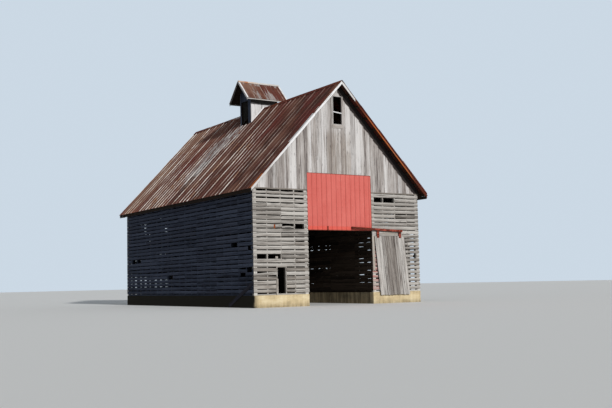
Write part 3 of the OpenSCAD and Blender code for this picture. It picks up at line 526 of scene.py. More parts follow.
class Wall:
    """A slatted wall: origin at the foot of its outer face, along runs beside it and inward behind it."""

    def __init__(self, seed, origin, along, inward, length, tone, *materials):
        self.shape = Shape(seed, *materials)
        self.origin, self.along, self.inward = Vector((*origin, 0)), along, inward
        self.length, self.tone = length, tone
        self.studs = [k * PITCH for k in range(1, round(length / PITCH))]

    def at(self, u, deep, z):
        return self.origin + self.along * u + self.inward * deep + Z * z

    def timber(self, start, end, width=STUD_T):
        """A stud or rail behind the slats, between (u, z) places."""
        s = self.shape
        back = BOARD + STUD_D
        s.board(self.at(start[0], back, start[1]), self.at(end[0], back, end[1]), -self.inward, width, STUD_D,
                s.own_tone(0.35, 0.2, 0.15), 2, step=1.5, wear=0.0006)

    def post(self, u, low=FOUNDATION + SILL, high=SLAT_TOP):
        self.timber((u, low), (u, high))

    def piece(self, start, end, width, thick, tone, slot=0, **more):
        """A loose board between (u, depth, z) places."""
        self.shape.board(self.at(*start), self.at(*end), -self.inward, width, thick, tone, slot, **more)

    def plates(self, *joints):
        """The sill and the two halves of the plate, each in one length or with a joint."""
        for n, (z, height) in enumerate(((FOUNDATION + SILL / 2, SILL), (SLAT_TOP + PLATE / 4, PLATE / 2),
                                         (SLAT_TOP + 3 * PLATE / 4, PLATE / 2))):
            ends = [STUD_IN, *joints[n:n + 1], self.length - STUD_IN]
            for low, high in zip(ends, ends[1:]):
                self.timber((low, z), (high, z), height)

    def slats(self, start, bays, holes=(), odd={}, nails=True, painted=0, tight=nowhere, shrunk=nowhere):
        """Rows of slats that join on studs; holes are (row, from, to) and odd gives a row's own lean.

        The first stretch of the lowest painted rows has faded paint. Where tight(row, u) isn't 0 the slats are
        wider by that share of the gap, and shrunk(row, u) is what the others have lost in width."""
        s, r = self.shape, self.shape.rnd
        end, studs = self.length - start, [STUD_IN / 2, *self.studs, self.length - STUD_IN / 2]
        for row in range(ROWS):
            whole = (row, None) in odd
            joints, at = ([start, studs[1]], 1) if row < painted else ([start], 0)
            while (at := at + r.randint(*bays)) < len(studs):
                joints.append(studs[at])
            joints.append(end)
            if whole:
                joints = [start, *studs[1:-1], end]
            if len(studs) > 10:
                joints = sorted({*joints, studs[2], studs[5], studs[8]})
            cuts = [(low, high) for at, low, high in holes if at == row]
            z = row_z(row) + SLAT / 2 + r.gauss(0, 0.0022)
            for a, b in zip(joints, joints[1:]):
                mid = (a + b) / 2
                light, warm, grime_and_shade = self.tone(s, row)
                edge = r.uniform(-0.1, 0.7) / (SLAT / 2)

                def tone(at):
                    up = at.z - z
                    return light + edge * up, warm - min(0, up) * 2.5, grime_and_shade - min(0, up) * 2

                for low, high in stretches(a, b, cuts):
                    torn = [0.035 if any(abs(e - c) < 0.001 for c in sum(cuts, ())) else 0.003
                            for e in (low, high)]
                    lean, slip = r.gauss(0, 0.0025), r.gauss(0, 0.0035)
                    slip, lean = odd.get((row, round(low, 2)), odd.get((row, None), (slip, lean)))
                    width = SLAT - r.uniform(0.002, 0.019) - shrunk(row, mid)
                    if tight(row, mid):
                        width = SLAT + tight(row, mid) * GAP
                    self.piece((low + 0.0015, BOARD, z + slip - lean), (high - 0.0015, BOARD, z + slip + lean),
                               width, BOARD - r.uniform(0, 0.002), tone,
                               3 if row < painted and low == start else 0,
                               bow=abs(r.gauss(0, 0.0015)), crook=r.gauss(0, 0.0035) - (SAG if whole else 0),
                               twist=r.gauss(0, 0.015), rag=torn)
                    for u, up in ((u, up) for u in studs if nails and low < u < high for up in (-0.042, 0.042)):
                        place = self.at(u + r.uniform(-0.012, 0.012), 0, z + slip + up + r.uniform(-0.01, 0.01))
                        s.nail(place, -self.inward)


def front_tone(shape, row):
    """Silver slats, a little lighter near the top and browner near the foot."""
    light, warm, grime_and_shade = shape.own_tone(0.34, 0.12, 0.16)
    return light + 0.2 * blur(8, 20, row), warm + (0.12 if row < 4 else 0), grime_and_shade


def beside_door(shape, row):
    """The slats beside the sliding door, palest at the height of the board behind its rail."""
    light, warm, grime_and_shade = front_tone(shape, row)
    return light + (1.6 if row == 14 else 0.35 if row < 6 else -0.1), warm, grime_and_shade


def crib_end(name, seed, origin, facing, tone=front_tone, hatch=False, **more):
    """One slatted end of a crib; facing is 1 in front and -1 behind, and more goes to its slats."""
    wall = Wall(seed, origin, X * facing, Y * facing, CRIB_W, tone, slats_wood, dark_iron, stud_wood, red_slats,
                tin)
    wall.slats(0, (2, 5), **more)
    for u in wall.studs:
        wall.post(u, HATCH_TOP + STUD_T if hatch and HATCH[0] < u < HATCH[1] else FOUNDATION + SILL)
    if hatch:
        wall.post(HATCH[0] - STUD_T / 2, high=HATCH_TOP)
        wall.post(HATCH[1] + STUD_T / 2, high=HATCH_TOP)
        z = HATCH_TOP + STUD_T / 2
        wall.timber((HATCH[0] - STUD_T, z), (HATCH[1] + STUD_T, z))
        oddments(wall)
    wall.plates()
    ribbon = SLAT_TOP + RIBBON / 2
    wall.piece((0, BOARD, ribbon), (CRIB_W, BOARD, ribbon), RIBBON, BOARD, (-0.5, 0.35, 0.15))
    wall.shape.make(name, "weathered_wood")


def oddments(wall):
    """A board beside the hatch, and what is in the holes: a sagging slat, a block and a tin patch."""
    x, z, block = HATCH[0] - 0.0375, row_z(15) + 0.035, row_z(8) + 0.03
    wall.piece((x, 0, FOUNDATION), (x, 0, FOUNDATION + 0.61), 0.075, BOARD, (1.6, 0.5, 0), rag=(0.01, 0.02))
    wall.piece((2 * PITCH + 0.03, BOARD, z), (3 * PITCH - 0.01, BOARD, z), 0.055, 0.018, (0.2, 0.1, 0.1),
               crook=0.018, step=0.1, rag=(0.03, 0.0), wear=0.006)
    wall.piece((0.954, 0.03, block), (1.061, 0.03, block), 0.085, 0.028, (2.0, 0.6, 0))
    wall.piece((0.935, 0.001, 2.955), (0.935, 0.001, 3.125), 0.07, 0.002, (0, 0.5, 0.35), 4, rag=(0.02, 0.02),
               dull=0)


def worn_narrow(row, u):
    """Slats of the front left wall that have shrunk most: the top ones, the lowest and two by the hatch."""
    if row == 23:
        return 0.034
    if row in (4, 0) and u < 1.0:
        return 0.022
    return 0.034 if row == 22 and u < 2 * PITCH else 0.014 if row == 5 and u < 1.0 else 0.0


LAST_BAY = CRIB_W - STUD_IN
HATCH, HATCH_TOP = (1.04, 1.40), row_z(6) - GAP / 2

crib_end("front_left_wall", 21, (-HALF_W, -HALF_L), 1, hatch=True, shrunk=worn_narrow,
         holes=[*((row, *HATCH) for row in range(6)), (8, STUD_IN, PITCH), (8, PITCH + STUD_T, 2 * PITCH),
                (15, 3 * PITCH + STUD_T, LAST_BAY), (15, 2 * PITCH + 0.06, 3 * PITCH - 0.05)],
         odd={(4, 0.0): (-0.012, 0.034), (5, 0.0): (-0.004, -0.014), (23, None): (-0.020, 0.004),
              (20, None): (-0.004, 0.0), (0, 0.0): (0.012, -0.004)})
crib_end("front_right_wall", 22, (HALF_ALLEY, -HALF_L), 1, beside_door, painted=13,
         holes=[(22, STUD_IN, PITCH - STUD_T / 2), (22, PITCH + STUD_T / 2, 2 * PITCH - STUD_T),
                (8, 2.12, LAST_BAY)],
         shrunk=lambda row, u: 0.010 if row < 14 and u > 1.2 else 0.018 if row < 13 and u < 0.5 else 0.0)
crib_end("rear_left_wall", 23, (-HALF_ALLEY, HALF_L), -1,
         tight=lambda row, u: 1.15 if row in (0, 1, 6, 7, 8, *range(11, 18), 21, 22, 23) else 0.3)
crib_end("rear_right_wall", 24, (HALF_W, HALF_L), -1)


def long_wall(name, seed, x, facing, slats, framing, tone, slot, **more):
    """A slatted wall from front to rear; facing is the side on which its studs are."""
    wall = Wall(seed, (x, -HALF_L), Y, X * facing, TOTAL_L, tone, slats, dark_iron, framing)
    wall.slats(BOARD, (4, 8), **more)
    for k, stud in enumerate(wall.studs, 1):
        for u in (stud - STUD_T / 2, stud + STUD_T / 2) if k == 10 else (stud,):
            wall.post(u)
    wall.plates(10 * PITCH, 10 * PITCH, 8 * PITCH)
    wall.shape.make(name, slot, name + "_front", name + "_rear")


def alley_tight(row, u):
    """How far the right alley wall's gaps are closed: wholly where no daylight shows."""
    far = u > 5 * PITCH
    if u < 2 * PITCH and 1 < row < 15 or far and row in (5, 6, 10, 11):
        return 0.4
    return 1.6 if far and row in (4, 7, 9, 12) else 1.15


def right_shrunk(row, u):
    """The right wall's slats have wider gaps where daylight shows through the wall."""
    if u < 5 * PITCH:
        return 0.028 if u < 2 * PITCH and row < 15 else -0.026
    return 0.0 if u > 8 * PITCH else -0.006 if row < 9 else -0.016


LEFT_HOLES = [(4, PITCH + STUD_T, 1.7 * PITCH), (11, 2.1 * PITCH, 2.9 * PITCH), (10, 0.2, 0.42),
              (4, 12 * PITCH + STUD_T, 13 * PITCH), (9, 18 * PITCH + STUD_T, 20 * PITCH), (5, 0.14, 0.50)]
RIGHT_HOLES = [(row, low * PITCH, high * PITCH) for row, low, high in (
    (6, 11, 14), (7, 5.35, 7.1), (8, 6.5, 7.1), (4, 6.4, 7.3), (5, 5.4, 6.0), (3, 5.4, 6.0), (10, 5.3, 5.9),
    (11, 6.4, 7.0), (14, 5.2, 5.9))]

# The left side is in painted shade
long_wall("left_wall", 31, -HALF_W, 1, bluish_shade_wood, bluish_shade_wood, lambda s, row: s.own_tone(0.35, 0.1, 0.2),
          "shaded_wood", holes=LEFT_HOLES, odd={(5, 0.02): (-0.028, 0.012), (5, 0.5): (-0.028, 0.012),
                                                (6, 0.02): (0.008, -0.01), (12, 0.02): (0.006, 0.008)})
long_wall("right_wall", 32, HALF_W, -1, slats_wood, stud_wood, front_tone, "weathered_wood", holes=RIGHT_HOLES,
          shrunk=right_shrunk)
# The alley's walls are sheltered boards in painted shade
for side, name, seed, tight in ((-1, "left_alley_wall", 33, nowhere), (1, "right_alley_wall", 34, alley_tight)):
    long_wall(name, seed, side * HALF_ALLEY, side, inner_wood, inner_wood,
              lambda s, row: s.own_tone(0.55, 0.3, 0.2), "inner_wood", nails=False, tight=tight)

posts = Shape(35, stud_wood)
POST_IN = STUD_IN / 2 + BOARD / 2
for end in (-1, 1):
    y = end * (HALF_L - STUD_IN)
    for x in (-HALF_W + POST_IN, -HALF_ALLEY - POST_IN, HALF_ALLEY + POST_IN, HALF_W - POST_IN):
        posts.board((x, y, FOUNDATION), (x, y, PLATE_TOP), (0, end, 0), STUD_D, STUD_D,
                    posts.own_tone(0.2, 0.2, 0.1, 0.9), wane=0.004)
posts.make("corner_posts", "weathered_wood")


# Upright boarding

def boarding(shape, place, out, edges, foot, head, tone, opening=None, step=0.4, dull=1.0):
    """Upright boards between edges; place(u, z) gives a point at their back, foot(u) and head(u) their ends.

    opening is (u0, u1, low, high); at its sides the edges already have a joint."""
    r = shape.rnd
    for u0, u1 in zip(edges, edges[1:]):
        mid = (u0 + u1) / 2
        own = tone(shape, mid)
        parts = [(foot, head)]
        if opening and opening[0] < mid < opening[1]:
            parts = [(foot, lambda u: opening[2]), (lambda u: opening[3], head)]
        for low, high in parts:
            if high(mid) - low(mid) < 0.03:
                continue
            cut = []
            for edge in (low, high):
                rise = place(mid + 0.001, edge(mid + 0.001)) - place(mid - 0.001, edge(mid - 0.001))
                cut.append(rise.cross(out).normalized())
            shape.board(place(mid, low(mid)), place(mid, high(mid)), out, u1 - u0 - r.uniform(0.001, 0.006),
                        BOARD - r.uniform(0, 0.002), own, 0, cut, bow=abs(r.gauss(0, 0.0015)),
                        twist=r.gauss(0, 0.012), step=step, dull=dull)


# The gables: one joint and the width of their boards, and the boards that are paler or dimmer
GABLE_JOINT, GABLE_BOARD = -1.2924, 0.236
PALE_BOARDS = (-10, -4, 2, 7, 9)
DIM_BOARDS = (-6, -3, -2, 3, 4, 6, 13, 14, 17)


def gable(name, seed, end, middle, over_door):
    """One gable's boards; end is -1 in front and 1 behind, and middle is the middle of the window."""
    shape = Shape(seed, gable_wood, dark_iron)
    front = end < 0

    def foot(u):
        return over_door if abs(u) < HALF_ALLEY else GABLE_FOOT

    def head(u):
        return RAFTER_Z - abs(u) * SLOPE

    def tone(s, u):
        k = -end * math.floor((u - GABLE_JOINT) / GABLE_BOARD)
        light, warm, grime_and_shade = s.own_tone(0.2, 0.10, 0.2)
        light += 1.0 if k in PALE_BOARDS else -0.6 if k in DIM_BOARDS else -0.1
        light += 0.22 * blur(-0.9, -0.3, u) if front else 0
        lean = s.rnd.gauss(0, 0.4)
        # A band of painted shade below the verges: deep under the front right verge, where its soffit and the
        # shadow of its overhang show, narrow under the others
        depth, shade_strength = (0.38, 1.7) if front and u > 0 else (0.16, 0.6)

        def at_place(at):
            # old is that painted shade: darker, browner and in the third tone
            old = shade_strength * blur(depth, depth - 0.03, head(at.x) - at.z)
            low = 0.5 * blur(7.1, 6.6, at.z) if abs(u) < 0.5 else 0.0
            edge = lean * (at.x - u) / 0.11
            return light + edge - 1.9 * old - 0.3 * low, warm + 0.3 * old + low, grime_and_shade + old

        return at_place

    def place(u, z):
        return Vector((u, end * (HALF_L - BOARD), z))

    w0, w1 = middle - WINDOW_W / 2, middle + WINDOW_W / 2
    fixed = (-HALF_W, w0, w1, -HALF_ALLEY, HALF_ALLEY, 0.0, HALF_W)
    edges = [-HALF_W]
    for u in sorted({*fixed, *(GABLE_JOINT + k * GABLE_BOARD for k in range(-40, 41))}):
        if -HALF_W < u <= HALF_W and (u - edges[-1] > 0.03 or u in fixed):
            edges.append(u)
    boarding(shape, place, Y * end, edges, foot, head, tone, (w0, w1, WINDOW_Z, WINDOW_Z + WINDOW_H), step=0.06)
    for u0, u1 in zip(edges, edges[1:]):
        for z in (GABLE_FOOT + 0.08, PLATE_TOP + 1.32, WINDOW_Z - 0.1):
            for u in (u0 + 0.03, u1 - 0.03):
                if foot((u0 + u1) / 2) < z < head(u) - 0.06 and u1 - u0 > 0.08:
                    shape.nail(place(u, z) + Y * end * (BOARD - 0.001), Y * end)
    shape.make(name, "silvered_wood")


gable("front_gable", 41, -1, WINDOW_X, PANEL_TOP - 0.04)
gable("rear_gable", 42, 1, -WINDOW_X, DOOR_H)


def window(name, seed, end, middle, tilt):
    """The frame, bar, sill board and side board of a gable window; its bar is tilted."""
    shape = Shape(seed, trim_wood, gable_wood)
    low, high, half = WINDOW_Z, WINDOW_Z + WINDOW_H, WINDOW_W / 2
    side, sill = 0.0225, 0.135
    inner, outer = (2 * BOARD + STUD_T, HALF_L - BOARD - STUD_T), (BOARD, HALF_L)
    bar = low + 0.41 * WINDOW_H + STUD_T / 2
    pieces = [(u, low, u, high, side, inner, 1, light, 0.1)
              for u, light in ((middle - (half - side / 2), -0.2), (middle + (half - side / 2), -0.5))]
    pieces += [(middle - half + side, z, middle + half - side, z, side, inner, 1, 0.3, 0.1)
               for z in (low + side / 2, high - side / 2)]
    pieces += [(middle - half + side, bar + tilt, middle + half - side, bar - tilt, STUD_T, outer, 0, -0.3, 0.1),
               (middle - half - 0.02, low - sill / 2, middle + half + 2 * side, low - sill / 2, sill, outer, 1,
                0.3, 0.9),
               (middle + half + side, low, middle + half + side, high, 2 * side, outer, 1, -0.3, 0.3)]
    for u0, z0, u1, z1, width, (thick, back), slot, light, warm in pieces:
        shape.board((u0, end * back, z0), (u1, end * back, z1), Y * end, width, thick,
                    (light + shape.rnd.gauss(0, 0.3), warm, 0.1), slot, step=0.5)
    shape.make(name, "silvered_wood")


window("front_window_frame", 43, -1, WINDOW_X, 0.02)
window("rear_window_frame", 44, 1, -WINDOW_X, 0.0)


# Verge and eave boards

def on_slope(side, top=SHEET_Z, turned=False):
    """A place on the slope at one side of a ridge: run along the ridge, s down the slope, h square to it."""
    def place(run, s, h):
        across, z = side * (s * COS + h * SIN), top - s * SIN + h * COS
        return Vector((run, across, z) if turned else (across, run, z))
    return place


def over_ridge(top, turned=False):
    """A place over a ridge: run along it and w down either slope."""
    def place(run, w, h):
        if abs(w) < 0.001:
            return Vector((run, 0, top + h * RISE) if turned else (0, run, top + h * RISE))
        return on_slope(1 if w > 0 else -1, top, turned)(run, abs(w), h)
    return place


barge = Shape(45, trim_wood, gable_wood, rust_edge, inner_wood)
VERGE_W, STRIP_W, EAVE_BOARD_H = 0.084, 0.15, 0.125


def verge(end, side, *pieces):
    """Boards down one verge, from the ridge to the eave, in lengths given as shares of the slope."""
    for low, high, tone, slot in pieces:
        ends = [(side * x, end * (BARGE_Y - BOARD), SHEET_Z - 0.0003 - x * SLOPE - VERGE_W / 2 * RISE)
                for x in (TAIL_X * low, TAIL_X * high)]
        barge.board(*ends, Y * end, VERGE_W, BOARD, tone, slot, (X, X), step=0.2,
                    bow=abs(barge.rnd.gauss(0, 0.002)))


def faded(at):
    """The left verge board: bluish white at the top, browner and greyer towards its foot."""
    low = blur(-1.9, -4.1, at.x)
    return 0.8 - 0.7 * low + 0.5 * wander(at.x * 2.3, 3.0), 0.5 * low, 0.05 + 0.1 * low


def rusty(at):
    """The right verge board: dark red rust, with orange and bare spots that are densest at mid slope."""
    middle = (0.25 + 0.75 * blur(0.9, 1.5, at.x)) * blur(3.9, 3.0, at.x)
    low = blur(0.05, 0.11, SHEET_Z - at.x * SLOPE - at.z)
    bare = max(0, wander(at.x * 4.3, 9.0))
    return 2.2 * low * middle * bare, 0.5 - 1.3 * low * middle, 0.02 + 0.75 * low * middle


def eave_tone(at):
    """The eave boards, in uneven tones."""
    return 0.3 * wander(at.y * 0.7, 4.0), 0.4 + 0.4 * wander(at.y * 0.9, 7.0), 0.5


verge(-1, -1, (0, 0.31, faded, 0), (0.312, 0.62, faded, 0), (0.622, 1, faded, 0))
verge(-1, 1, (0, 0.15, (0.3, 0.5, 0.1), 0), (0.15, 1, rusty, 2))
verge(1, -1, (0, 0.45, (0.2, 0.1, 0.1), 1), (0.452, 1, (0, 0.1, 0.2), 1))
verge(1, 1, (0, 0.5, (0.1, 0.1, 0.2), 1), (0.502, 1, (0.2, 0.1, 0.1), 1))
# The left eave board is a sheltered board in painted shade; the right one is a gable board
for side in (-1, 1):
    x, reach, z = side * (TAIL_X - BOARD), BARGE_Y - BOARD, RAFTER_Z - TAIL_X * SLOPE - EAVE_BOARD_H / 2
    for start, stop in ((-reach, -2.6), (-2.598, 2.0), (2.002, reach)):
        barge.board((x, start, z), (x, stop, z), X * side, EAVE_BOARD_H, BOARD, eave_tone, 3 if side < 0 else 1,
                    step=0.5)

# Thin strips in lapped lengths: one lies on the left slope, one hangs at the edge of the right slope
place = on_slope(-1)
for n, (low, high, tone, slot) in enumerate((
        (0.2, 2.0, (-0.3, 0.5, 0.2), 0), (1.95, 3.6, (0.4, 0.1, 0.05), 0),
        (3.55, 5.4, (0.0, 0.3, 0.0), 2), (5.35, 6.12, (0.1, -0.3, 0.62), 2))):
    ends = [place(STRIP_W / 2 - VERGE_Y, s, 0.0065 + 0.002 * (n % 2)) for s in (low, high)]
    barge.board(*ends, Vector((-SIN, 0, COS)), STRIP_W, 0.0025, tone, slot, step=0.3,
                crook=barge.rnd.gauss(0, 0.006), wear=0.0008, dull=0)
place = on_slope(1)
for low, high, tall, warm, grime_and_shade in ((0.12, 1.35, 0.016, 0.4, 0.1), (1.3, 2.6, 0.024, 0.3, 0.05),
                                     (2.55, 4.3, 0.034, 0.3, 0.0), (4.25, 6.06, 0.050, 0.2, 0.0)):
    ends = [place(-VERGE_Y + 0.006, s, 0.003 + tall / 2) for s in (low, high)]
    barge.board(*ends, -Y, tall, 0.003, (0.0, warm, grime_and_shade), 2, step=0.25, crook=barge.rnd.gauss(0, 0.004),
                wear=0.003, dull=0)
barge.make("bargeboards", "silvered_wood")


# Roof sheets

def crimp_line(start, end, crimps, height=CRIMP_H, width=0.036, crest=0.008, fill=0.12):
    """(position, height) pairs across a sheet, with rounded crimps and points between them."""
    line = [(start, 0.0)]

    def flat(to):
        base, gap = line[-1][0], to - line[-1][0]
        steps = max(1, round(gap / fill))
        line.extend((base + gap * k / steps, 0.0) for k in range(1, steps + 1))

    for at in sorted(crimps):
        if start < at - width / 2 and at + width / 2 < end:
            flat(at - width / 2)
            flank = width / 4 + crest / 4
            line += [(at - flank, height * 0.52), (at - crest / 2, height), (at + crest / 2, height),
                     (at + flank, height * 0.52), (at + width / 2, 0.0)]
    flat(end)
    return line


def zinc_on_left(y, s):
    """Where zinc is left on the left slope: below the cupola and in a band to its rear."""
    spot = math.exp(-(((y - 0.3) / 0.7) ** 2) - ((s - 1.5) / 0.7) ** 2)
    band = 0.80 * math.exp(-(((y - 1.4 + 0.15 * s) / 1.3) ** 2) - ((s - 3.2) / 1.7) ** 2)
    return min(0.75, 0.8 * spot + band)


# The width that a sheet covers and the first one's, the ends of the slope and the lap between its two rows of
# sheets, how far the crimps of a side lap are from its middle, and the hole under the cupola
COVER, FIRST_COVER = 0.756, 0.293
SHEET_TOP, SHEET_FOOT, SHEET_LAP = 0.035, 6.148, 2.78
CRIMP_OFF = 0.024
HOLE_Y, HOLE_S = 0.493, 0.987


def roof(name, seed, side):
    """The sheets of one slope, in two rows, with their lapped edges, nails, rust and wear."""
    shape = Shape(seed, rust_sheet, dark_iron)
    r = shape.rnd
    laps = [-VERGE_Y + FIRST_COVER + k * COVER for k in range(18)]
    starts = [-VERGE_Y] + laps
    rows = [SHEET_TOP, 0.3, 0.6, HOLE_S] + [1.3 + 0.37 * k for k in range(13)]
    place = on_slope(side)
    for n, start in enumerate(starts):
        end = min(start + COVER if n else laps[0], VERGE_Y)
        crimps = [end - CRIMP_OFF, end + CRIMP_OFF]
        if n:
            crimps += [start - CRIMP_OFF, start + CRIMP_OFF, start + COVER / 2]
        low, high = max(start - 0.046, -VERGE_Y), min(end + 0.046, VERGE_Y)
        line = crimp_line(low, high, crimps)
        if abs(start) < 1.2:
            line = sorted(line + [(y, 0.0) for y in (-HOLE_Y, HOLE_Y) if low + 0.06 < y < high - 0.06
                                  and all(abs(y - p) > 0.012 for p, _ in line)])
        even = 1 - 0.7 * blur(-3.0, -5.6, start)
        own = (r.gauss(0, 0.10), r.gauss(0, 0.15) * even, r.gauss(0, 0.05))
        fade = blur(2.0, 6.4, start)
        for first, last, over in ((SHEET_LAP - 0.1, SHEET_FOOT, 0.0), (SHEET_TOP, SHEET_LAP, 0.003)):
            part = (r.gauss(0, 0.06), r.gauss(0, 0.12) * even)
            stations = [first] + [s for s in rows if first + 0.05 < s < last - 0.05] + [last]
            phase = r.uniform(0, 50)
            short = {round(y, 4): r.uniform(0, 0.012) for y, _ in line}

            def lift(y, s):
                wave = 0.0026 * wander(y * 2.3, s * 1.1, phase) + 0.002 * wander(y * 7, s * 2.6, phase + 9)
                edge = 0.004 * blur(5.9, SHEET_FOOT, s) * wander(y * 5, phase)
                lap = 0.0035 * (1 - (y - low) / (high - low))
                return max(0.0, 0.0016 + wave) + lap + over + edge

            def tone(y, s):
                left = zinc_on_left(y, s) if side < 0 else 0.5 * zinc_on_left(-y, s + 0.4)
                left += own[0] + part[0] + 0.12 * fade
                dark = own[1] + part[1] + 0.15 * blur(-3.6, -6.0, y) + 0.22 * blur(3.5, 1.0, y) - 0.42 * fade
                verge_edge = blur(-6.5, -6.72, y) if side < 0 else 0.0
                glow = own[2] + 0.22 * blur(5.2, 6.1, s) + 0.3 * verge_edge + 0.14 * fade
                return left, dark - 1.0 * verge_edge, glow

            # How pale the crests are laid, as wear and as a painted highlight of their flanks: most at mid slope
            # and to the rear
            def worn(y, s):
                down = max(0.3 + 0.7 * blur(0.9, 3.4, s), blur(-0.9, 0.2, y))
                middle = 0.10 + 0.90 * max(blur(-5.4, -2.6, y) * down, 0.75 * blur(2.4, 5.2, s))
                line = min(1, max(0.06, 0.57 + 2.1 * wander(y * 2.9 + 20, s * 0.25)))
                broken = min(1, max(0.3, 0.95 + 1.4 * wander(y * 11, s * 1.3)))
                return min(1.0, 1.5 * middle * line * broken)

            def ragged(y, s, h):
                return place(y, s - (short[round(y, 4)] if s > SHEET_FOOT - 0.008 else 0.0), h)

            shape.sheet(ragged, line, stations, lift, tone, worn, (-0.5, 1.6, -0.2),
                        lambda y, s: abs(y) < HOLE_Y and s < HOLE_S)
    for y in (y for start in laps for y in (start - CRIMP_OFF, start + COVER / 2) if y <= VERGE_Y - 0.04):
        for s in (0.09 + k * 0.593 for k in range(11)):
            if abs(y) >= 0.56 or s >= 1.06:
                shape.nail(place(y, s, CRIMP_H + SHEET_T + 0.0055), (side * SIN, 0, COS), *SCREW)
    shape.make(name, "rusted_roof")


roof("left_roof_sheets", 51, -1)
roof("right_roof_sheets", 52, 1)


def cap(name, seed, material, place, reach, wing, length, tint, spread=0.15, spots=0.0, gap=0.0):
    """A ridge cap in lapped lengths, bent over the ridge; it is left out nearer than gap to the middle."""
    shape = Shape(seed, material)
    r = shape.rnd
    at, n = -reach, 0
    while at < reach - 0.05:
        stop, start = min(at + length, reach), at - (0.05 if n else 0)
        own = tuple(t + r.gauss(0, spread) for t in tint)
        count = max(2, round((stop - at) / 0.3))
        stations = [start + (stop - start) * k / count for k in range(count + 1)]
        half = [0.012, 0.03, wing * 0.55, wing]
        line = [(w, 0) for w in [-w for w in half[::-1]] + [0] + half]
        phase = r.uniform(0, 40)

        def lift(w, t):
            wave = 0.002 + 0.003 * wander(t * 2.2, w * 3, phase)
            return max(0.0, wave) + 0.003 * (abs(w) / wing) * wander(t * 6, phase) + 0.0032 * (n % 2)

        shape.sheet(lambda w, t, h: place(t, w, h), line, stations, lift,
                    lambda w, t: (*own[:2], own[2] + spots * max(0, wander(t * 2.6, 3.0))), under=(-0.5, 1.5, 0),
                    skip=lambda w, t: abs(t) < gap)
        at, n = stop, n + 1
    shape.make(name, "rusted_roof", angle=50)


cap("ridge_cap", 53, rust_edge, over_ridge(CREST_Z), VERGE_Y, 0.19, 2.4, (0.1, 0.35, 0.05), gap=0.5)


# Red sheet over the doorway

red = Shape(61, red_sheet, dark_iron)
PANEL_LEFT, PANEL_W = -HALF_ALLEY - 0.01, 2 * HALF_ALLEY + 0.02
RIB = 0.2286
ribs = [RIB * k for k in range(1, 14)]


def on_panel(u, s, h):
    """A place on the red sheet: u to the right, s down and h out of it."""
    return Vector((PANEL_LEFT + u, -HALF_L - h, PANEL_TOP - s))


for n in range(4):
    a, b = 4 * RIB * n, 4 * RIB * (n + 1) if n < 3 else PANEL_W
    low, high = (a - 0.032 if n else 0), (b + 0.032 if n < 3 else PANEL_W)
    fit = [rib for rib in ribs if a - 0.001 <= rib <= b + 0.001]
    line = crimp_line(low, high, fit, 0.019, 0.058, 0.022, 0.09)
    own = red.rnd.gauss(0, 0.12)

    def lift(u, s):
        wave = 0.0022 * wander(u * 2.1, s * 1.3, 7.0 * n)
        return max(0.0, 0.001 + wave) + 0.0022 * (1 - (u - low) / (high - low))

    def tone(u, s):
        edge = max(blur(0.05, 0.0, s), blur(PANEL_H - 0.05, PANEL_H, s), 0.5 * blur(0.04, 0.0, u),
                   blur(PANEL_W - 0.06, PANEL_W, u))
        seam = math.exp(-((PANEL_H - 0.16 - s) / 0.012) ** 2)
        return edge + 0.5 * seam, own, blur(PANEL_H - 0.17, PANEL_H - 0.15, s)

    stations = [0, 0.02, 0.05] + [0.25 * k for k in range(1, 9)]
    stations += [PANEL_H - up for up in (0.18, 0.16, 0.14, 0.05, 0.02, 0)]
    red.sheet(on_panel, line, stations, lift, tone, lambda u, s: 1.0)
for rib in [0.03] + ribs:
    for s in (0.04, 0.62, 1.33, 2.08):
        red.nail(on_panel(rib + 0.05, s, SHEET_T + 0.002), -Y, *SCREW)
red.make("red_panel", "red_steel")


# Boards and doors at the doorways

TRACK_BOARD, JAMB, JAMB_FOOT = 0.19, 0.11, 1.3


def lone_board(name, seed, slot, wood, *about, **more):
    """A piece that is one board."""
    shape = Shape(seed, wood)
    shape.board(*about, **more)
    shape.make(name, slot)


x, z = HALF_ALLEY + JAMB / 2, DOOR_H - TRACK_BOARD / 2
lone_board("jamb_board", 62, "silvered_wood", trim_wood, (x, -HALF_L, JAMB_FOOT),
           (x, -HALF_L, DOOR_H - TRACK_BOARD), -Y, JAMB, BOARD, (-0.4, 1.0, 0.1), rag=(0.06, 0), bow=0.002)
lone_board("track_board", 63, "silvered_wood", trim_wood, (HALF_ALLEY + 0.01, -HALF_L, z),
           (HALF_ALLEY + 1.53, -HALF_L, z), -Y, TRACK_BOARD, BOARD, (-0.5, 0.8, 0.2), rag=(0, 0.015))

# The sliding door leans: its foot is further to the right than its top by RACK
DOOR_X, DOOR_W, DOOR_TOP, DOOR_LOW, RACK = 1.6188, 1.5, 2.72, 0.32, 0.235
DOOR_Y, BATTEN, PLANK_GAP = -HALF_L - 3 * BOARD - 0.01, 0.14, 0.004
DOOR_TONES = ((0.9, 0.3, 0), (0.2, 0, 0), (-0.2, 0.05, 0.1), (-0.35, 0.35, 0.15), (-0.2, 0.35, 0.1),
              (-0.5, 0.3, 0.2), (0.0, 0.1, 0), (0.3, 0, 0.05), (0.35, 0.1, 0))
door = Shape(64, door_wood, dark_iron)
plank = (DOOR_W - 8 * PLANK_GAP) / 9
for k, tone in enumerate(DOOR_TONES):
    x = DOOR_X + k * (plank + PLANK_GAP) + plank / 2
    door.board((x, DOOR_Y + BOARD, DOOR_TOP), (x + RACK, DOOR_Y + BOARD, DOOR_LOW), -Y, plank * 0.995 - 0.001,
               BOARD - 0.001, tone, 0, (Z, Z), crook=0 if k else -0.004, rag=(0.004, 0.03), step=0.3,
               twist=door.rnd.gauss(0, 0.006))
tall = DOOR_TOP - DOOR_LOW
lean = Vector((tall, 0, RACK)).normalized()
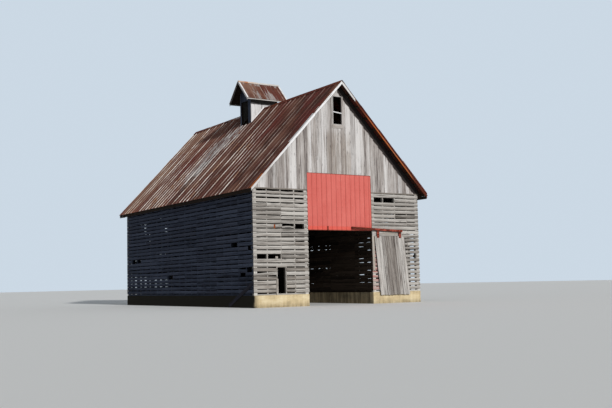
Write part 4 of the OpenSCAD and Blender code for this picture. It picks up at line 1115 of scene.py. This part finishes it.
for z in (DOOR_LOW + 0.15, DOOR_LOW + 1.2, DOOR_TOP - 0.29):
    middle = z + BATTEN / 2
    x, y = DOOR_X + RACK * (DOOR_TOP - middle) / tall, DOOR_Y + 2 * BOARD
    door.board((x, y, middle), (x + DOOR_W, y, middle), -Y, BATTEN, BOARD, door.own_tone(0.3, 0.3, 0.2), 0,
               (lean, lean))
    for k in range(9):
        for up in (-0.035, 0.035):
            at = x + (k + 0.5) * (plank + PLANK_GAP) - up * 0.1 + door.rnd.uniform(-0.03, 0.03)
            door.nail((at, DOOR_Y + 0.001, middle + up), -Y)
door.make("sliding_door", "weathered_wood", body="door")

REAR_FOOT, REAR_W, REAR_GAP = 0.15, HALF_ALLEY + 0.1075, 0.0025
rear = Shape(65, door_wood, dark_iron)
for side in (-1, 1):
    edges = [REAR_GAP + REAR_W * k / 11 for k in range(12)]
    boarding(rear, lambda u, z: Vector((side * u, HALF_L, z)), Y, edges, lambda u: REAR_FOOT, lambda u: DOOR_H,
             lambda s, u: s.own_tone(0.5, 0.2, 0.2))
    for z in (REAR_FOOT + 0.14, (REAR_FOOT + DOOR_H) / 2, DOOR_H - REAR_FOOT - 0.14):
        middle = z + BATTEN / 2
        reach = [(side * u, HALF_L + BOARD, middle) for u in (edges[0] + 0.04, edges[-1] - 0.04)]
        rear.board(*reach, Y, BATTEN, BOARD, rear.own_tone(0.4, 0.2, 0.2))
        for u in edges[:-1]:
            for up in (0.035, 0.105):
                rear.nail((side * (u + 0.07), HALF_L + 2 * BOARD - 0.001, z + up), Y)
    for u in (edges[0] + 0.24, edges[-1] - 0.24):
        rear.board((side * u, HALF_L, DOOR_H), (side * u, HALF_L, DOOR_H + 0.06), Y, 0.08, 0.008, (0, 0, 0), 1)
rear.make("rear_doors", "weathered_wood")


# Cupola

cup = Shape(71, trim_wood)
DIM_CUPOLA_BOARDS = (3, 6)
CUP_WALL_TOP = CUP_UNDER - CUP_L * SLOPE


def cupola_tone(shape, u):
    """The boards of the cupola's walls, dark in the shade of its eaves."""
    light = -0.6 if int((u + CUP_W) / 0.175) in DIM_CUPOLA_BOARDS else shape.rnd.uniform(-0.2, 0.4)

    def at_place(at):
        under = blur(0.47, 0.43, CUP_WALL_TOP - at.z)
        return light - 3 * under, 0.12, 2.4 * under

    return at_place


# The cupola's walls have dull raised, so their inner faces are near black: painted shade inside the cupola
for end in (-1, 1):
    boarding(cup, lambda u, z: Vector((u, end * (CUP_L - BOARD), z)), Y * end,
             [-CUP_W + CUP_W * k / 4 for k in range(9)], lambda u: CREST_Z + 0.0003 - abs(u) * SLOPE,
             lambda u: CUP_WALL_TOP - 0.0003, cupola_tone, step=0.1, dull=4.0)
    for side, tone in ((-1, (1.0, 0.0, 0)), (1, (-0.3, 0.5, 0.3))):
        foot = [Vector((side * u, end * CUP_L, CREST_Z + 0.036 * RISE - u * SLOPE)) for u in (0.02, CUP_W)]
        cup.board(*foot, Y * end, 0.062, 0.002, tone, 0, (X, X), dull=0, step=0.1)
cup.make("cupola_walls", "silvered_wood")

# The open ends: boards beside and below the openings, in painted shade, and thin dark ones behind the right
# opening as painted shade inside the cupola
ends = Shape(72, bluish_shade_wood, inner_wood)
inner, front, back = CUP_L - BOARD, -CUP_L + 0.28, CUP_L - 0.10
for side in (-1, 1):
    for edges, foot in (([-inner, -inner + 0.13, front], CREST_Z + 0.0003 - CUP_W * SLOPE),
                        ([back, inner], CREST_Z + 0.0003 - CUP_W * SLOPE),
                        ([front, -0.1, 0.0, 0.14, 0.28, back], CREST_Z + 0.33)):
        boarding(ends, lambda u, z: Vector((side * (CUP_W - BOARD), u, z)), X * side, edges, lambda u: foot,
                 lambda u: CUP_UNDER - 0.0003 - abs(u) * SLOPE, lambda s, u: (s.rnd.gauss(0.3, 0.4), 0.1, 0.1))
x, low = CUP_W - BOARD - 0.003, CREST_Z + 0.34
for u0, u1 in ((-0.49, -0.24), (-0.235, 0.0), (0.005, 0.24), (0.245, 0.41)):
    mid, high = (u0 + u1) / 2, CUP_UNDER - max(abs(u0), abs(u1)) * SLOPE - 0.01
    if high - low > 0.05:
        ends.board((x, mid, low), (x, mid, high), -X, u1 - u0, 0.002, (-3, 0, 3), 1, dull=0)
ends.make("cupola_ends", "shaded_wood")

trim = Shape(73, trim_wood)
VERGE_BOARD, EAVE_BOARD, STRIP, SHEET_OUT = 0.075, 0.062, 0.08, 0.015
FOOT = (CUP_EAVE + SHEET_OUT) * RISE
for side in (-1, 1):
    for end in (-1, 1):
        x, z = side * (CUP_VERGE - BOARD), CUP_DECK - VERGE_BOARD / 2 * RISE
        shaded = 3.0 if side < 0 < end else 0.0
        trim.board((x, 0, z), (x, end * CUP_EAVE, z - CUP_EAVE * SLOPE), X * side, VERGE_BOARD, BOARD,
                   (-0.2 - shaded + trim.rnd.gauss(0, 0.2), 0.05, 0.1 + shaded), 0, (Y, Y))
        place = on_slope(end, CUP_DECK, True)
        edge = [place(side * (CUP_VERGE + SHEET_OUT - STRIP / 2), s, 0.0145) for s in (0.057, FOOT)]
        trim.board(*edge, Vector((0, end * SIN, COS)), STRIP, 0.0075, (1.0, 0.2, 0.0), dull=0,
                   crook=trim.rnd.gauss(0, 0.003))
for end in (-1, 1):
    y, z = end * (CUP_EAVE - BOARD), CUP_DECK - CUP_EAVE * SLOPE - EAVE_BOARD / 2
    trim.board((-CUP_VERGE, y, z), (CUP_VERGE, y, z), Y * end, EAVE_BOARD, BOARD, (-0.3, 0.7, 0.15), bow=0.001)
trim.make("cupola_trim", "silvered_wood")

top = Shape(74, cupola_rust, dark_iron)
reach = CUP_VERGE + SHEET_OUT
crimps = [-reach + 0.15 + 0.3 * k for k in range(7)]
for end in (-1, 1):
    place = on_slope(end, CUP_DECK, True)

    def lift(u, s):
        return max(0.0, 0.0015 + 0.003 * wander(u * 3, s * 2, 5.0 + end))

    def tone(u, s):
        streak = 1.25 * math.exp(-((u - 0.23) / (0.07 + 0.11 * s)) ** 2) * blur(0.1, 0.9, s)
        streak += 1.05 * math.exp(-((u + 0.43) / (0.05 + 0.07 * s)) ** 2) * blur(0.1, 0.9, s)
        lit = 0.25 * blur(-0.75, -1.05, u)
        near_cap = blur(0.34, 0.12, s) * max(0, wander(u * 3.3, 8.0) + 0.3)
        glow = 0.25 * blur(0.35, 0.0, s) + 0.2 * blur(0.85, 1.1, u)
        return streak + 0.05 + lit + 1.2 * near_cap, 0.25 - 0.4 * lit, glow

    # Its crests are laid pale, as wear and as a painted highlight
    top.sheet(place, crimp_line(-reach, reach, crimps, fill=0.1),
              [0.035, 0.12, 0.22, 0.34, 0.5, 0.65, 0.8, 0.95, 1.12, FOOT], lift, tone,
              lambda u, s: max(0.0, 0.25 + 0.7 * wander(u * 2.3, s * 0.8, 3.0)), (-0.5, 1.5, -0.2))
    for u in crimps:
        for s in (0.12, 0.62, 1.12):
            top.nail(place(u, s, CRIMP_H + SHEET_T + 0.002), (0, end * SIN, COS), *SCREW)
top.make("cupola_sheets", "rusted_roof")
cap("cupola_ridge_cap", 75, pale_cap, over_ridge(CUP_RIDGE, True), CUP_VERGE, 0.114, 0.54, (0.35, -0.1, -0.12),
    spread=0.3, spots=1.6)


# Foundations and the loose plank

base = Shape(81, cast)


def rough_block(x0, x1, y0, y1, height):
    """A cast block: its faces are a grid that is pitted inwards, with chipped upper edges."""
    nx, ny, nz = 10, 52, 6
    index = {}

    def vertex(at):
        if at not in index:
            i, j, k = at
            x, y, z = x0 + (x1 - x0) * i / nx, y0 + (y1 - y0) * j / ny, height * k / nz
            pit = 0.004 + 0.0035 * wander(x * 2.1, y * 2.1, z * 5) + 0.002 * wander(x * 9, y * 9, z * 9)
            form = 0.002 if k == 3 else 0.0
            chip = 0.016 * max(0, wander(x * 1.7 + 5, y * 1.7, 3)) if k == nz else 0.0
            dx, dy = ((pit + form + chip) * (1 if n == 0 else -1 if n == most else 0)
                      for n, most in ((i, nx), (j, ny)))
            # A darker wet foot; the left face is near black, as painted shade with moss, and the faces toward the
            # alley are darker too
            damp_and_shade = blur(0.22, 0.0, z) * 0.75
            if x0 < 0 and i == 0:
                damp_and_shade = 1.5 + 0.4 * wander(x * 3, y * 1.3, z * 4) - 0.5 * blur(-6.1, -6.4, y)
            elif (x0 < 0) == (i == nx) and 0 < j:
                damp_and_shade = 0.95
            index[at] = base.point((x + dx, y + dy, z), (x, y, z), (damp_and_shade, min(1, 40 * chip), 0))
        return index[at]

    def quad(at, a, b):
        """The face of the grid that goes from one of its points along the axes a and b."""
        corners = [tuple(at[n] + (n == a) * along + (n == b) * up for n in range(3))
                   for along, up in ((0, 0), (1, 0), (1, 1), (0, 1))]
        base.face(tuple(map(vertex, corners)))

    for k in range(nz):
        for j, i in itertools.product(range(ny), (0, nx)):
            quad((i, j, k), 1, 2)
        for i, j in itertools.product(range(nx), (0, ny)):
            quad((i, j, k), 0, 2)
    for at in itertools.product(range(nx), range(ny), (0, nz)):
        quad(at, 0, 1)


for left in (-HALF_W, HALF_ALLEY):
    rough_block(left, left + CRIB_W, -HALF_L, HALF_L, FOUNDATION)
base.make("foundations", "concrete")

# The loose plank lies in the left side's painted shade
PLANK_L, lean = 2.13, math.radians(24)
run = Vector((0, -math.cos(lean), math.sin(lean)))
start = Vector((-HALF_W, -HALF_L + PLANK_L * math.cos(lean), 0))
start += Vector((0, math.sin(lean), math.cos(lean))) * SLAT / 2
lone_board("loose_plank", 82, "shaded_wood", bluish_shade_wood, start, start + run * PLANK_L, -X, SLAT, BOARD,
           (-0.9, 0.9, 0.4), rag=(0.0, 0.03))


# Framing and ironwork keep the part's own shapes

def dress(material, *nodes):
    for node in nodes:
        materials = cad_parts[node].data.materials
        materials.clear()
        materials.append(material)


for name, axis, pitch, *nodes in (
        ("Rafters", (COS, 0, -SIN), (9, PITCH, 9), "rafters"),
        ("Battens", (0, 1, 0), (0.35, 99, 99), "roof_battens", "ridge_board"),
        ("Beams", (1, 0, 0), (9, PITCH, 0.6), "tie_beams", "doorway_headers", "panel_girts", "cupola_deck"),
        ("Gable framing", (1, 0, 0), (0.9, 9, 0.9), "gable_frames"),
        ("Cupola posts", (0, 0, 1), (0.5, 0.5, 9), "cupola_posts")):
    dress(frame_wood(name, axis, pitch, name == "Rafters"), *nodes)
dress(rail_rust, "door_track", "door_hangers", "rear_track")


# Floor, light and camera

def link(name, data, **props):
    for key, value in props.items():
        setattr(data, key, value)
    obj = bpy.data.objects.new(name, data)
    bpy.context.scene.collection.objects.link(obj)
    return obj


floor_mesh = bpy.data.meshes.new("floor")
floor_mesh.from_pydata([(-160, -120, 0), (160, -120, 0), (160, 260, 0), (-160, 260, 0)], [], [(0, 1, 2, 3)])
pale_floor = Finish("Pale floor", 0.9, 0.5, False)
pale_floor.shader.inputs["Base Color"].default_value = (0.80, 0.80, 0.79, 1)
floor_mesh.materials.append(pale_floor.mat)
link("floor", floor_mesh)

# A dim bluish light from all around, and a brighter sky where it is seen or mirrored
world = bpy.data.worlds.new("Studio")
bpy.context.scene.world = world
world.use_nodes = True
tree = world.node_tree
light = tree.nodes["Background"]
light.inputs["Color"].default_value = (0.88, 0.94, 1.0, 1)
light.inputs["Strength"].default_value = 0.25
seen = add_node(tree, "Background", {"Color": (0.60, 0.69, 0.78, 1), "Strength": 1.0})
path = add_node(tree, "LightPath").node.outputs
direct = add_node(tree, "Math", {0: path["Is Camera Ray"], 1: path["Is Glossy Ray"]}, operation="MAXIMUM")
either = add_node(tree, "Math", {0: direct, 1: path["Is Transmission Ray"]}, operation="MAXIMUM")
sky = add_node(tree, "MixShader", {0: either, 1: light.outputs[0], 2: seen})
tree.links.new(sky, tree.nodes["World Output"].inputs[0])

key = link("Key", bpy.data.lights.new("Key", "SUN"), energy=2.7, angle=math.radians(3), color=(1.0, 0.985, 0.955))
key.rotation_euler = Vector((-0.038, -0.913, 0.407)).normalized().to_track_quat("Z", "Y").to_euler()

camera = link("Camera", bpy.data.cameras.new("Camera"), sensor_width=36, lens=52.30, clip_end=600)
camera.matrix_world = Matrix.Translation((-19.978, -35.327, 0.883))
for degrees, axis in ((-32.43, "Z"), (90 + 5.08, "X"), (-1.26, "Z")):
    camera.matrix_world @= Matrix.Rotation(math.radians(degrees), 4, axis)
bpy.context.scene.camera = camera
bpy.context.scene.view_settings.view_transform = "Standard"
